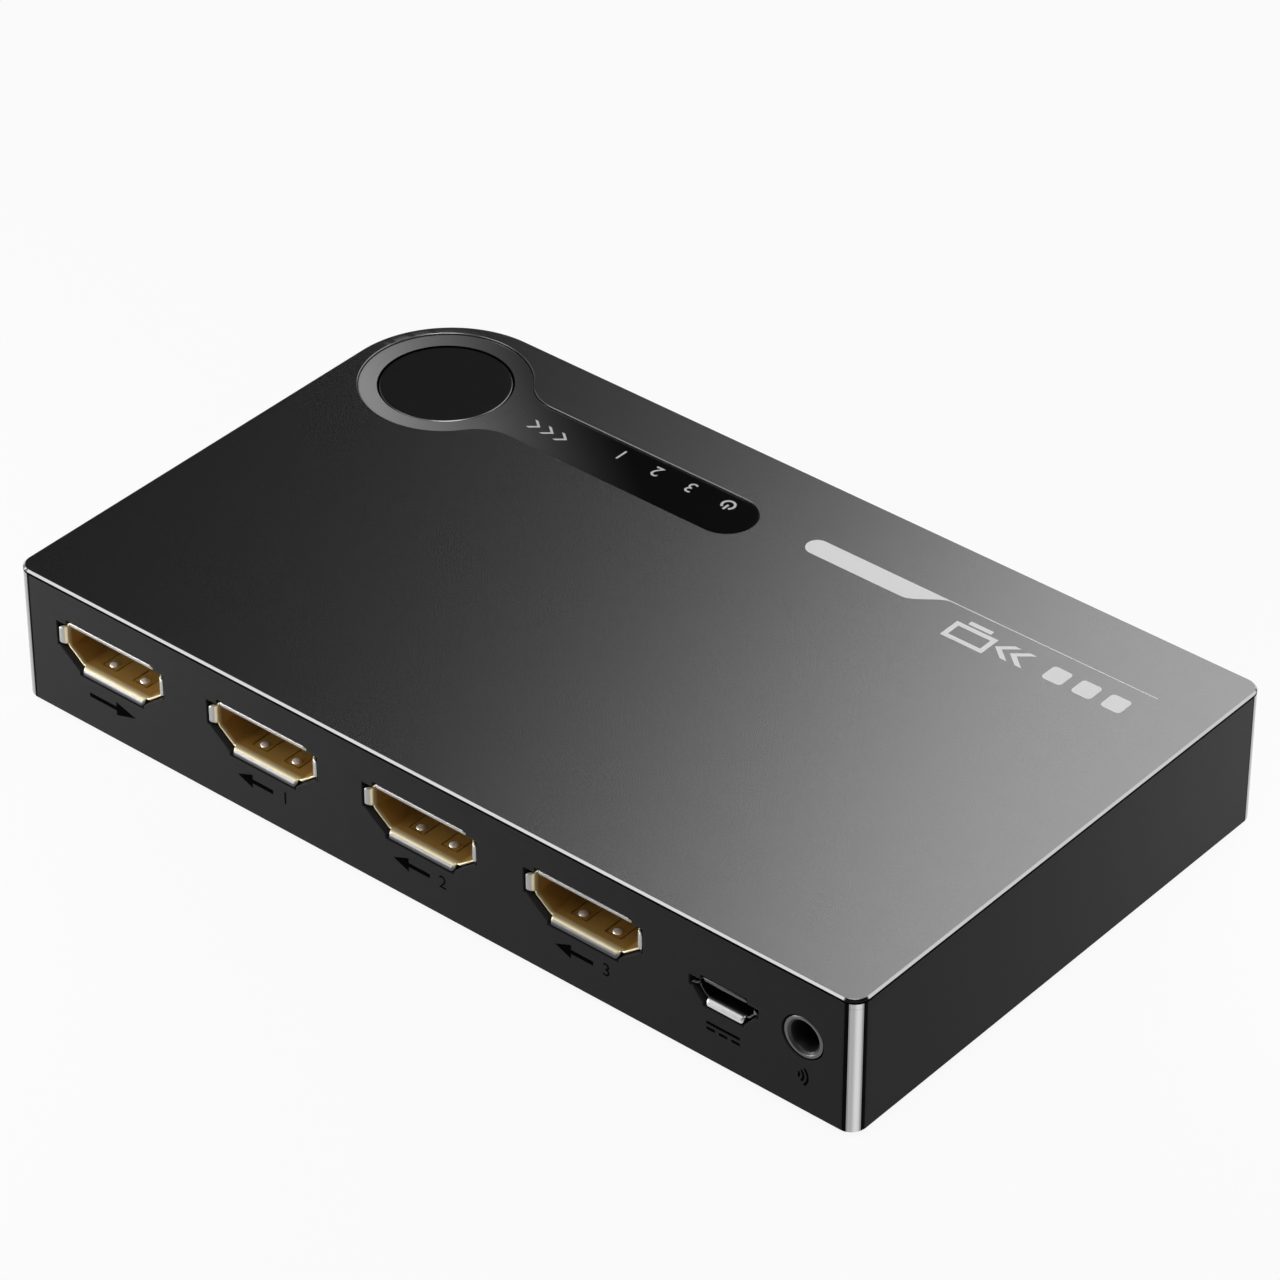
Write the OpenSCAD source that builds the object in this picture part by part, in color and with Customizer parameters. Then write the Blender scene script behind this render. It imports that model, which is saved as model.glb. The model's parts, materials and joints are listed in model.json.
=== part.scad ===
// Three-way video switch box: a black tray with the ports in its front wall, a satin lid with a
// keyhole-shaped indicator panel and a round select button, and the board with its parts between them.
// The port wall faces -Y, +Z is up, and the origin is on the standing surface under the middle of the case.

/* [Case] */
// Width of the case
case_w = 118; // [116:1:132]
// Depth of the case, from the port wall to the back
case_d = 70; // [68:1:82]
// Height of the case without its feet
case_h = 17.5; // [17:0.5:21]
// Thickness of the tray's walls
wall_t = 1.8; // [1.4:0.1:2.2]
// Thickness of the tray's floor
floor_t = 2; // [1.9:0.1:2.6]
// Radius of the three small upright corners
corner_r = 2; // [1.4:0.1:3]
// Radius of the large upright corner beside the button
button_corner_r = 13.5; // [11:0.5:15]
// Chamfer along the tray's lower edge
base_chamfer = 0.3; // [0.1:0.1:0.6]

/* [Cover] */
// Thickness of the cover inside the walls
cover_t = 2.4; // [2.1:0.1:3]
// Thickness of the cover's rim, which lies on the walls
rim_t = 1.2; // [1.1:0.1:1.6]
// Cut chamfer along the cover's upper edge
edge_chamfer = 0.25; // [0.2:0.05:0.4]
// Upright band between that chamfer and the shadow groove
edge_band = 0.1; // [0.05:0.05:0.2]
// Height of the shadow groove under the cut edge
groove_h = 0.2; // [0.15:0.05:0.35]
// Depth of the shadow groove
groove_d = 0.35; // [0.2:0.05:0.6]
// Clearance between the cover and the inside of the walls
cover_gap = 0.15; // [0.1:0.05:0.3]

/* [Feet and screws] */
// Diameter of a rubber foot
foot_d = 8; // [6:0.5:10]
// Thickness of a rubber foot
foot_t = 1.1; // [0.8:0.1:1.6]
// How far a foot stands below the tray
foot_proud = 0.5; // [0.3:0.1:0.7]
// Distance of a foot's centre from the nearest two sides
foot_inset = 12; // [10:0.5:14]
// Diameter of a case screw's shank
screw_d = 2.4; // [2:0.1:2.6]
// Diameter of a case screw's head
screw_head_d = 4.6; // [4:0.1:5]
// Height of a case screw's head
screw_head_t = 1.3; // [1:0.1:1.4]
// How deep a screw head sits in the tray's underside
screw_sink = 0.2; // [0.1:0.05:0.3]
// Length of screw held in the cover's boss
screw_grip = 5; // [3:0.5:6]
// Diameter of the tray's posts and the cover's bosses
post_d = 5.6; // [5.2:0.1:6]
// Length of a slot of the cross in a screw's head
screw_slot_l = 2.8; // [2.2:0.1:3.2]
// Width of that slot
screw_slot_w = 0.55; // [0.4:0.05:0.8]
// Depth of that slot
screw_slot_h = 0.8; // [0.4:0.1:0.9]
// Clearance of a screw in the tray and the board
screw_gap = 0.3; // [0.2:0.05:0.4]
// Clearance of a screw in its boss
thread_gap = 0.05; // [0.03:0.01:0.08]
// Distance of the side screws from the left and right sides
screw_from_side = 6; // [5.5:0.1:7]
// Distance of the front screws from the port wall
screw_from_front = 18; // [17.5:0.5:22]
// Distance of the back screws from the back
screw_from_back = 5.7; // [5.5:0.1:6.5]
// Distance of the back left screw from the left side, past the button
screw_past_button = 31; // [28:0.5:34]

/* [Select button] */
// Diameter of the button
button_d = 15.5; // [13:0.5:16]
// Distance of the button's centre from the left side
button_from_left = 12; // [11.8:0.1:14]
// Distance of the button's centre from the back
button_from_back = 12.3; // [11.8:0.1:14]
// Travel of the button
button_travel = 0.3; // [0.2:0.05:0.4]
// Depth of the button's face under the cover's
button_sink = 0.35; // [0.3:0.05:0.5]
// Running clearance around the button
button_gap = 0.15; // [0.1:0.05:0.25]
// Chamfer around the button's face
button_edge = 0.3; // [0.1:0.1:0.5]
// Thickness of the button's face
button_face_t = 1.4; // [1:0.1:1.8]
// Thickness of the button's skirt
button_skirt_t = 1.2; // [1:0.1:1.6]
// Width of the flange that keeps the button in
flange_w = 1; // [0.7:0.1:1]
// Thickness of that flange
flange_t = 0.8; // [0.6:0.1:1]
// Clearance around the flange in its guide
guide_gap = 0.2; // [0.15:0.05:0.3]
// Wall of the guide under the cover
guide_t = 1; // [0.8:0.1:1.4]
// Height of the guide under the cover
guide_h = 1.8; // [1.4:0.1:2.2]
// Diameter of the rod that presses the switch
button_rod_d = 3; // [2:0.1:4]
// Clearance between faces that meet as the button moves
press_gap = 0.05; // [0.03:0.01:0.08]

/* [Indicator panel] */
// Width of the ring around the button
ring_w = 2.35; // [2:0.05:2.6]
// Width of the strip beside the button
strip_w = 7.3; // [6:0.1:8]
// Reach of the strip from the button's centre
strip_reach = 45.35; // [44.6:0.05:60]
// Fillet where the strip meets the ring
neck_r = 6; // [4:0.5:8]
// Thickness of the panel
panel_t = 0.6; // [0.5:0.05:0.7]
// Depth of the panel's face under the cover's
panel_recess = 0.2; // [0.15:0.05:0.3]
// Depth of the dish around the button
dish_depth = 0.1; // [0.1:0.05:0.35]
// Width of the flat land around the dish
dish_land = 0.15; // [0.1:0.05:0.3]
// Clearance around the panel
panel_gap = 0.1; // [0.05:0.05:0.2]
// Distance from the button's centre to the first lamp
lamp_first = 25; // [23:0.5:28]
// Distance between lamps
lamp_pitch = 5.18; // [4.6:0.02:5.3]
// Distance of the lamps from the strip's middle, towards the ports
lamp_offset = 1.2; // [0.5:0.1:1.6]
// Diameter of a light guide's rod
guide_rod_d = 2.2; // [1.6:0.1:2.6]
// Thickness of the bar that joins the rods
guide_bar_t = 1.2; // [0.8:0.1:1.6]
// Width of that bar
guide_bar_w = 3.4; // [3:0.1:4]
// Clearance around the light guide's rods
guide_rod_gap = 0.1; // [0.05:0.05:0.2]
// Length of a lamp
lamp_l = 1.6; // [1:0.1:2]
// Width of a lamp
lamp_w = 0.9; // [0.5:0.1:1.6]
// Height of a lamp
lamp_h = 0.7; // [0.4:0.1:1]
// Clearance between a lamp and its rod
lamp_gap = 0.3; // [0.1:0.1:0.6]

/* [Main board] */
// Height of the board's upper face above the tray's underside
board_level = 7.1; // [6.8:0.1:7.3]
// Thickness of the board
board_t = 1.6; // [1:0.2:1.6]
// Clearance between the board and the walls
board_gap = 0.8; // [0.5:0.1:1]
// Clearance around pins that pass through the board
pin_gap = 0.2; // [0.1:0.05:0.25]
// How far pins reach past the board's underside
pin_past = 0.7; // [0.4:0.1:1]

/* [Video sockets] */
// Distance of the first socket's centre from the left side
socket_from_left = 14; // [13.8:0.1:14.5]
// Distance between the last video socket and the power socket
socket_to_power = 18.85; // [18.4:0.05:20]
// Height of the sockets' centre above the tray's underside
socket_level = 9.95; // [9.9:0.05:10.2]
// Width of a socket's opening
mouth_w = 14; // [13.9:0.05:14.2]
// Height of a socket's opening
mouth_h = 4.55; // [4.5:0.05:4.7]
// Height of the opening's upright sides
mouth_side = 2.9; // [2.6:0.1:3.2]
// Width of the opening's floor
mouth_floor_w = 9.8; // [9.4:0.1:10.6]
// Thickness of the shell's sheet
shell_t = 0.25; // [0.2:0.05:0.3]
// Length of the shell behind its lips
shell_l = 12; // [11:0.5:12.5]
// Reach of the flared lips, outwards and forwards
lip_flare = 0.65; // [0.4:0.05:0.7]
// How far the lips sit back from the port wall's face
mouth_recess = 0.1; // [0.1:0.05:0.3]
// Clearance between the lips and the port windows
window_gap = 0.2; // [0.15:0.05:0.3]
// Distance of the spring fingers from the socket's middle
finger_x = 2.33; // [2:0.01:2.6]
// Width of a spring finger
finger_w = 1.9; // [1.5:0.1:2.2]
// Length of a spring finger
finger_l = 4; // [3:0.5:5]
// Width of the slit around a spring finger
slit_w = 0.3; // [0.2:0.05:0.4]
// Distance from the shell's front edge to the fingers
finger_start = 1.2; // [0.8:0.1:1.6]
// Height of a finger's dimple
dimple_h = 0.2; // [0.15:0.01:0.22]
// Diameter of a finger's dimple
dimple_d = 1.1; // [0.8:0.1:1.3]
// Distance of the dimple's middle from the finger's tip
dimple_from_tip = 0.65; // [0.65:0.05:1]
// Width of a shell leg
leg_w = 1.2; // [0.8:0.1:1.4]
// Distance of the front legs from the shell's front edge
leg_front = 3.2; // [2.8:0.1:4]
// Distance of the back legs from the shell's front edge
leg_back = 9; // [8:0.5:10]
// Distance of the tongue's end from the lips
tongue_recess = 4.4; // [4.3:0.1:5]
// Width of the tongue
tongue_w = 11; // [10.6:0.1:11.4]
// Thickness of the tongue
tongue_t = 1.5; // [1.2:0.1:1.6]
// Length of the block that closes the back of the shell
block_l = 2.5; // [2:0.1:3]
// Distance between contacts of one row
contact_pitch = 1; // [0.95:0.01:1.02]
// Width of a contact
contact_w = 0.3; // [0.2:0.02:0.36]
// Thickness of a contact
contact_t = 0.15; // [0.1:0.01:0.18]
// How far a contact stands out of its groove
contact_proud = 0.05; // [0.02:0.01:0.08]
// Distance from the tongue's end to the contacts
contact_setback = 0.4; // [0.2:0.1:0.8]
// Length of a contact's foot on the board
contact_foot = 1; // [0.6:0.1:1.2]

/* [Power socket] */
// Distance of the power socket's centre from the right side
power_from_right = 17.2; // [16.6:0.1:18]
// Height of its centre above the tray's underside
power_level = 8.82; // [8.8:0.02:9.4]
// Width of its opening
power_w = 7; // [6.8:0.1:7.2]
// Height of its opening
power_h = 1.85; // [1.8:0.05:2]
// Height of its opening's upright sides
power_side = 0.95; // [0.7:0.05:1.2]
// Width of its opening's floor
power_floor_w = 5.5; // [5:0.1:5.8]
// Length of its shell behind the lips
power_l = 5.2; // [5:0.1:6]
// Reach of its flared lips
power_flare = 0.6; // [0.4:0.05:0.7]
// Width of its tongue
power_tongue_w = 4.2; // [3.8:0.1:4.6]
// Thickness of its tongue
power_tongue_t = 0.55; // [0.5:0.05:0.65]
// Distance from its roof to the tongue
power_tongue_drop = 0.35; // [0.25:0.05:0.45]
// Distance of its tongue's end from the lips
power_tongue_recess = 1.8; // [1.4:0.1:2.2]
// Length of the block that closes its back
power_block_l = 1.2; // [1:0.1:1.4]
// Distance between its contacts
power_pitch = 0.65; // [0.6:0.01:0.7]

/* [Infrared jack] */
// Distance of the jack's centre from the right side
jack_from_right = 6.9; // [6.8:0.05:7.2]
// Height of the jack's centre above the board
jack_level = 2.54; // [2.5:0.02:2.8]
// Diameter of the jack's bore
jack_bore_d = 3.65; // [3.6:0.01:3.75]
// Diameter of the jack's collar
jack_collar_d = 5.1; // [4.9:0.05:5.2]
// Diameter of the collar's spigot in the body
jack_spigot_d = 4.4; // [4.3:0.02:4.5]
// Length of the collar's spigot
jack_spigot_l = 0.8; // [0.5:0.1:1.2]
// Width of the jack's body
jack_w = 6; // [5.8:0.1:6.2]
// Height of the jack's body
jack_h = 5.2; // [5:0.1:6]
// Length of the jack's body
jack_l = 12; // [11.5:0.1:12.2]
// Thickness of the wall behind the bore
jack_end_t = 1.5; // [1:0.1:2]
// Clearance between the jack's body and the port wall
jack_gap = 0.3; // [0.2:0.1:0.5]
// Clearance of the collar in the port wall and in the body
collar_gap = 0.15; // [0.1:0.01:0.2]
// Clearance of a contact from the bore
spring_gap = 0.12; // [0.08:0.02:0.2]
// Width of a contact
spring_w = 1.2; // [0.8:0.1:1.6]
// Thickness of a contact
spring_t = 0.25; // [0.2:0.05:0.3]
// Length of a contact's foot on the board
spring_foot = 0.7; // [0.4:0.1:0.8]

/* [Button switch] */
// Width of the switch
switch_w = 6; // [5.5:0.1:6.2]
// Height of the switch's base
switch_base_h = 3; // [2.6:0.1:3.4]
// Thickness of the switch's cover plate
switch_plate_t = 0.3; // [0.2:0.05:0.4]
// Height of the plunger's end above the board
switch_h = 5; // [4.6:0.1:5.4]
// Diameter of the plunger
plunger_d = 3.4; // [3:0.1:3.6]
// Diameter of the plunger's flange
plunger_flange_d = 4.2; // [4:0.1:4.4]
// Thickness of the plunger's flange
plunger_flange_t = 0.6; // [0.5:0.05:0.7]
// Clearance around the plunger
plunger_gap = 0.1; // [0.08:0.01:0.15]
// Diameter of the spring dome
dome_d = 3.8; // [3.4:0.1:4]
// Thickness of the spring dome
dome_t = 0.1; // [0.06:0.01:0.14]
// Width of a switch leg
switch_leg_w = 0.7; // [0.5:0.1:0.8]
// Thickness of a switch leg
switch_leg_t = 0.3; // [0.2:0.05:0.35]
// Distance between the legs of one side
switch_leg_pitch = 4.5; // [4:0.1:4.8]

/* [Infrared receiver] */
// Distance of the receiver from the button's centre
receiver_from_button = 16.5; // [15:0.1:17]
// Width of the receiver
receiver_w = 6.4; // [5.6:0.1:7]
// Depth of the receiver
receiver_d = 5; // [4.6:0.1:5.4]
// Height of the receiver's body
receiver_h = 3; // [2.6:0.1:3.4]
// Diameter of the receiver's lens
receiver_lens_d = 4.4; // [4:0.1:4.6]
// Height of the receiver above the board
receiver_lift = 0.6; // [0.3:0.1:0.8]
// Clearance around the receiver's lens in the cover
receiver_window_gap = 0.6; // [0.3:0.1:1]
// Thickness of a receiver lead
receiver_lead_t = 0.5; // [0.4:0.05:0.6]
// Distance between receiver leads
receiver_lead_pitch = 2.54; // [2:0.02:2.54]

/* [Board parts] */
// Width of the switch chip
chip_w = 10; // [8:0.5:11]
// Thickness of the switch chip
chip_t = 1.4; // [1:0.1:1.6]
// Leads on each side of the switch chip
chip_leads = 16; // [8:1:16]
// Distance between the switch chip's leads
chip_pitch = 0.5; // [0.42:0.01:0.55]
// Distance of the switch chip from the left side
chip_from_left = 55; // [51:1:60]
// Distance of the switch chip from the port wall
chip_from_front = 31; // [30:0.5:35]
// Length of the control chip
control_l = 9.9; // [9:0.1:10.5]
// Width of the control chip
control_w = 3.9; // [3.5:0.1:4.5]
// Leads on each side of the control chip
control_leads = 8; // [4:1:8]
// Distance between the control chip's leads
control_pitch = 1.2; // [0.9:0.01:1.25]
// Distance of the control chip from the right side
control_from_right = 35; // [31:1:39]
// Distance of the control chip from the back
control_from_back = 23; // [21:0.5:25]
// Width of a chip lead
lead_w = 0.22; // [0.15:0.01:0.28]
// Thickness of a chip lead
lead_t = 0.13; // [0.1:0.01:0.16]
// Reach of a chip lead from its chip
lead_reach = 1; // [0.8:0.1:1.2]
// Width of the voltage regulator
regulator_w = 6.5; // [6:0.1:7]
// Depth of the voltage regulator
regulator_d = 3.5; // [3:0.1:4]
// Height of the voltage regulator
regulator_h = 1.6; // [1.4:0.1:1.8]
// Width of a regulator lead
regulator_lead_w = 0.75; // [0.6:0.05:0.9]
// Distance between regulator leads
regulator_pitch = 2.3; // [1.9:0.1:2.4]
// Distance of the voltage regulator from the right side
regulator_from_right = 18; // [16:0.5:19]
// Distance of the voltage regulator from the port wall
regulator_from_front = 21; // [20:0.5:25]
// Diameter of a storage capacitor
storage_d = 5; // [4:0.5:5.5]
// Height of a storage capacitor
storage_h = 5.4; // [4.6:0.1:6]
// Width of a storage capacitor's base
storage_base_w = 5.6; // [5.5:0.1:6]
// Thickness of a storage capacitor's base
storage_base_t = 0.8; // [0.6:0.1:1]
// Distance of the outer storage capacitor from the right side
storage_from_right = 14; // [12:0.5:16]
// Distance of the storage capacitors from the port wall
storage_from_front = 31; // [30:0.5:35]
// Distance between the storage capacitors
storage_pitch = 8; // [7:0.5:9]
// Length of a chip capacitor or resistor
passive_l = 1.6; // [1:0.1:1.8]
// Width of a chip capacitor or resistor
passive_w = 0.8; // [0.5:0.1:0.9]
// Height of a chip capacitor
capacitor_h = 0.8; // [0.5:0.1:1]
// Height of a chip resistor
resistor_h = 0.45; // [0.3:0.05:0.6]
// Distance of the chip capacitors from the switch chip's side
capacitor_ring = 2.6; // [2.4:0.1:3.4]
// Distance between chip capacitors
capacitor_pitch = 2.6; // [2:0.1:2.8]
// Distance of the lamp resistors from the lamps
resistor_offset = 3.2; // [3:0.1:4]
// Distance between the control chip's resistors
resistor_pitch = 2; // [1.2:0.1:2.2]
// Length of a surge array
surge_l = 2.5; // [2:0.1:2.8]
// Width of a surge array
surge_w = 1; // [0.8:0.1:1.2]
// Height of a surge array
surge_h = 0.5; // [0.4:0.05:0.7]
// Distance of the surge arrays from the socket's middle
surge_x = 3; // [2:0.1:4]
// Distance of the surge arrays from the sockets' feet
surge_gap = 1.4; // [0.8:0.1:1.6]

/* [Hidden] */
$fn = 64;

// How far a cut runs past the face that it opens
over = 1;
// Smallest radius of an inner corner
least_r = 0.2;
// How far the neck's fillets cut into the ring and the strip, so that they meet at an edge
neck_bite = 0.02;
// How far a lip or a leg runs into the wall that it belongs to
tab_root = 0.3;
// How far a corner's rounding stands past the sides that it joins, for the same reason
corner_bite = 0.01;

// Sides of the case and its levels, from the standing surface up
left = -case_w / 2;
right = case_w / 2;
front = -case_d / 2;
back = case_d / 2;
tray_z = foot_proud;
floor_z = tray_z + floor_t;
top_z = tray_z + case_h;
rim_z = top_z - rim_t;
groove_z = top_z - edge_chamfer - edge_band - groove_h;
ceiling_z = top_z - cover_t;
board_z = tray_z + board_level;
board_under_z = board_z - board_t;
panel_z = top_z - panel_recess;
pocket_z = panel_z - panel_t;

// Upright corners: side in X, side in Y, radius
corners = [[-1, -1, corner_r], [1, -1, corner_r], [1, 1, corner_r], [-1, 1, button_corner_r]];

// Places of the screws and the feet
screw_spots = [
    [left + screw_from_side, front + screw_from_front],
    [right - screw_from_side, front + screw_from_front],
    [left + screw_past_button, back - screw_from_back],
    [right - screw_from_side, back - screw_from_back]
];
foot_spots = [
    for (x = [left + foot_inset, right - foot_inset])
        for (y = [front + foot_inset, back - foot_inset]) [x, y]
];
screw_seat_z = tray_z + screw_sink + screw_head_t;
screw_end_z = board_z + screw_grip;

// Button and panel
button_r = button_d / 2;
button_x = left + button_from_left;
button_y = back - button_from_back;
button_z = top_z - button_sink;
flange_r = button_r + flange_w;
flange_top_z = ceiling_z - press_gap;
plunger_top_z = board_z + switch_h;
ring_r = button_r + ring_w;
strip_half = strip_w / 2;
strip_end = strip_reach - strip_half;
lamp_count = 4;
lamp_y = button_y - lamp_offset;

// Video sockets, front to back
socket_count = 4;
socket_pitch = (case_w - socket_from_left - power_from_right - socket_to_power) / (socket_count - 1);
upper_contacts = 10;
lower_contacts = 9;
lip_y = front + mouth_recess;
shell_y = lip_y + lip_flare;
shell_end_y = shell_y + shell_l;
socket_z = tray_z + socket_level;
tongue_y = lip_y + tongue_recess;
feet_end_y = shell_end_y + contact_t + contact_foot;

// Power socket
power_contacts = 5;
power_x = right - power_from_right;
power_z = tray_z + power_level;
power_shell_y = lip_y + power_flare;
power_end_y = power_shell_y + power_l;
power_tongue_z = power_z + power_h / 2 - power_tongue_drop - power_tongue_t;

// Infrared jack
jack_x = right - jack_from_right;
jack_z = board_z + jack_level;
jack_y = front + wall_t + jack_gap;
jack_bore_r = jack_bore_d / 2;
// Jack contacts: side of the body, and place along it as a share of its length
jack_contacts = [[-1, 0.3], [1, 0.45], [-1, 0.7]];

// Places of the chips and the voltage regulator
chip_x = left + chip_from_left;
chip_y = front + chip_from_front;
control_x = right - control_from_right;
control_y = back - control_from_back;
regulator_x = right - regulator_from_right;
regulator_y = front + regulator_from_front;

// Receiver
receiver_x = button_x + receiver_from_button;
receiver_z = board_z + receiver_lift;

// Place of a lamp or of a socket, counted from the left
function lamp_x(i) = button_x + lamp_first + i * lamp_pitch;
function socket_x(i) = left + socket_from_left + i * socket_pitch;

// Place of one of a row of equal pieces, from the row's middle
function row_x(k, count, pitch) = (k - (count - 1) / 2) * pitch;

// Radius and centre of a corner when the case's outline is drawn in by an inset
function corner_radius(c, inset) = max(c[2] - inset, least_r);
function corner_x(c, inset) = c[0] * (case_w / 2 - inset - corner_radius(c, inset));
function corner_y(c, inset) = c[1] * (case_d / 2 - inset - corner_radius(c, inset));

// Outline of a socket's opening, wide side up, grown evenly on all sides
function mouth_points(w, h, side, floor_w, grow) =
    let (
        run = (w - floor_w) / 2,
        drop = h - side,
        slant = norm([run, drop]),
        x_side = w / 2 + grow,
        x_floor = floor_w / 2 + grow * (slant - run) / drop,
        z_side = h / 2 - side - grow * (slant - drop) / run
    )
    [
        [-x_side, h / 2 + grow], [x_side, h / 2 + grow], [x_side, z_side],
        [x_floor, -h / 2 - grow], [-x_floor, -h / 2 - grow], [-x_side, z_side]
    ];

// Extrusions along Y, from an outline in X and Z, and along X, from an outline in Y and Z
module along_y(from, to) {
    translate([0, to, 0]) rotate([90, 0, 0]) linear_extrude(to - from) children();
}
module along_x(from, to) {
    translate([from, 0, 0]) rotate([90, 0, 90]) linear_extrude(to - from) children();
}

// Block between two corners
module block(low, high) {
    translate(low) cube(high - low);
}

// Box that stands on a level, with its middle at a spot
module stand(spot, level, size) {
    translate([spot[0] - size[0] / 2, spot[1] - size[1] / 2, level]) cube(size);
}

// Plan of the case, drawn in by an inset
module plan(inset = 0) {
    difference() {
        square([case_w - 2 * inset, case_d - 2 * inset], center = true);
        for (c = corners) difference() {
            corner_quarter(c, inset);
            translate([corner_x(c, inset), corner_y(c, inset)])
                circle(r = corner_radius(c, inset) + corner_bite);
        }
    }
}
// Square outside a corner's centre, which holds all that the rounding cuts off
module corner_quarter(c, inset) {
    side = corner_radius(c, inset) + over;
    x = corner_x(c, inset) + c[0] * side / 2;
    y = corner_y(c, inset) + c[1] * side / 2;
    translate([x, y]) square(side, center = true);
}

// Slab of the case's plan between two levels
module plan_slab(inset, low, high) {
    translate([0, 0, low]) linear_extrude(high - low) plan(inset);
}

// What a chamfer takes off the case's full outline, from level 0 up to the chamfer's leg
module edge_cut(leg) {
    past = leg / 4;
    far = 2 * past;
    difference() {
        around_case(-past, leg + past);
        along_y(front - 2 * over, back + 2 * over) narrowing(case_w / 2, leg, far);
    }
    difference() {
        around_case(-past, leg + past);
        along_x(left - 2 * over, right + 2 * over) narrowing(case_d / 2, leg, far);
    }
    for (c = corners) difference() {
        translate([0, 0, -past]) linear_extrude(leg + 2 * past) corner_quarter(c, 0);
        translate([corner_x(c, 0), corner_y(c, 0), 0]) corner_cone(c[2] + corner_bite, leg, far);
    }
}
// Block that reaches past all four sides of the case
module around_case(low, high) {
    block([left - over, front - over, low], [right + over, back + over, high]);
}
// Section that narrows upwards at 45 degrees from a half width at level 0
module narrowing(half, leg, past) {
    low_half = half + past;
    high_half = half - leg - past;
    polygon([[-low_half, -past], [low_half, -past], [high_half, leg + past], [-high_half, leg + past]]);
}
// Cone of a corner's chamfer, longer than the chamfer at both ends
module corner_cone(r, leg, past) {
    translate([0, 0, -past]) cylinder(h = leg + 2 * past, r1 = r + past, r2 = r - leg - past);
}

// Keyhole outline of the panel: ring, strip with a round end, and a fillet on each side of the neck
module keyhole(grow) {
    ring = ring_r + grow;
    half = strip_half + grow;
    fillet = neck_r - grow;
    reach = ring + fillet - neck_bite;
    fillet_y = half + fillet - neck_bite;
    fillet_x = sqrt(pow(reach, 2) - pow(fillet_y, 2));
    translate([button_x, button_y]) {
        difference() {
            union() {
                circle(r = ring);
                translate([0, -half]) square([strip_end, 2 * half]);
                polygon([[0, 0], [fillet_x, -fillet_y], [fillet_x, fillet_y]]);
            }
            for (side = [-1, 1]) translate([fillet_x, side * fillet_y]) circle(r = fillet);
        }
        translate([strip_end, 0]) circle(r = half);
    }
}

module base_tray() {
    socket_grow = lip_flare + shell_t + window_gap;
    power_grow = power_flare + shell_t + window_gap;
    color([0.11, 0.11, 0.115])
    difference() {
        union() {
            difference() {
                plan_slab(0, tray_z, rim_z);
                plan_slab(wall_t, floor_z, top_z);
                translate([0, 0, tray_z + base_chamfer]) mirror([0, 0, 1]) edge_cut(base_chamfer);
            }
            for (s = screw_spots)
                translate([s[0], s[1], floor_z - floor_t / 2])
                    cylinder(h = board_under_z - floor_z + floor_t / 2, d = post_d);
        }
        for (s = screw_spots) translate([s[0], s[1], 0]) {
            cylinder(h = top_z, d = screw_d + 2 * screw_gap);
            cylinder(h = screw_seat_z, d = screw_head_d + 2 * screw_gap);
        }
        for (s = foot_spots) translate([s[0], s[1], 0]) cylinder(h = foot_t, d = foot_d + 2 * screw_gap);
        for (i = [0 : socket_count - 1])
            port_window(socket_x(i), socket_z)
                polygon(mouth_points(mouth_w, mouth_h, mouth_side, mouth_floor_w, socket_grow));
        port_window(power_x, power_z)
            polygon(mouth_points(power_w, power_h, power_side, power_floor_w, power_grow));
        port_window(jack_x, jack_z) circle(d = jack_collar_d + 2 * collar_gap);
    }
}
module port_window(x, z) {
    translate([x, 0, z]) along_y(front - over, front + wall_t + over) children();
}

module top_cover() {
    color([0.3, 0.3, 0.31])
    difference() {
        union() {
            difference() {
                plan_slab(0, groove_z + groove_h, top_z);
                translate([0, 0, top_z - edge_chamfer]) edge_cut(edge_chamfer);
            }
            plan_slab(0, rim_z, groove_z);
            plan_slab(groove_d, rim_z, top_z - edge_chamfer);
            plan_slab(wall_t + cover_gap, ceiling_z, top_z - edge_chamfer);
            for (s = screw_spots)
                translate([s[0], s[1], board_z])
                    cylinder(h = ceiling_z - board_z + cover_t / 2, d = post_d);
            button_guide();
        }
        translate([0, 0, pocket_z]) linear_extrude(cover_t) keyhole(panel_gap);
        translate([button_x, button_y, 0]) cylinder(h = button_z, r = button_r + button_gap);
        for (i = [0 : lamp_count - 1])
            translate([lamp_x(i), lamp_y, ceiling_z - over])
                cylinder(h = cover_t + over, d = guide_rod_d + 2 * guide_rod_gap);
        translate([receiver_x, button_y, ceiling_z - over])
            cylinder(h = cover_t + over, d = receiver_lens_d + 2 * receiver_window_gap);
        for (s = screw_spots)
            translate([s[0], s[1], board_z - over])
                cylinder(h = screw_grip + 2 * over, d = screw_d + 2 * thread_gap);
    }
}
// Guide around the button's flange, kept inside the walls
module button_guide() {
    intersection() {
        translate([button_x, button_y, ceiling_z - guide_h]) difference() {
            cylinder(h = guide_h + cover_t / 2, r = flange_r + guide_gap + guide_t);
            translate([0, 0, -over]) cylinder(h = guide_h + over, r = flange_r + guide_gap);
        }
        plan_slab(wall_t + cover_gap, board_z, rim_z);
    }
}

module case_screws() {
    slot_h = screw_slot_h + over;
    head_z = screw_seat_z - screw_head_t;
    color([0.55, 0.55, 0.57])
    for (s = screw_spots) translate([s[0], s[1], 0]) difference() {
        union() {
            translate([0, 0, head_z]) cylinder(h = screw_head_t, d = screw_head_d);
            translate([0, 0, head_z]) cylinder(h = screw_end_z - head_z, d = screw_d);
        }
        stand([0, 0], head_z - over, [screw_slot_l, screw_slot_w, slot_h]);
        stand([0, 0], head_z - over, [screw_slot_w, screw_slot_l, slot_h]);
    }
}

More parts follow.
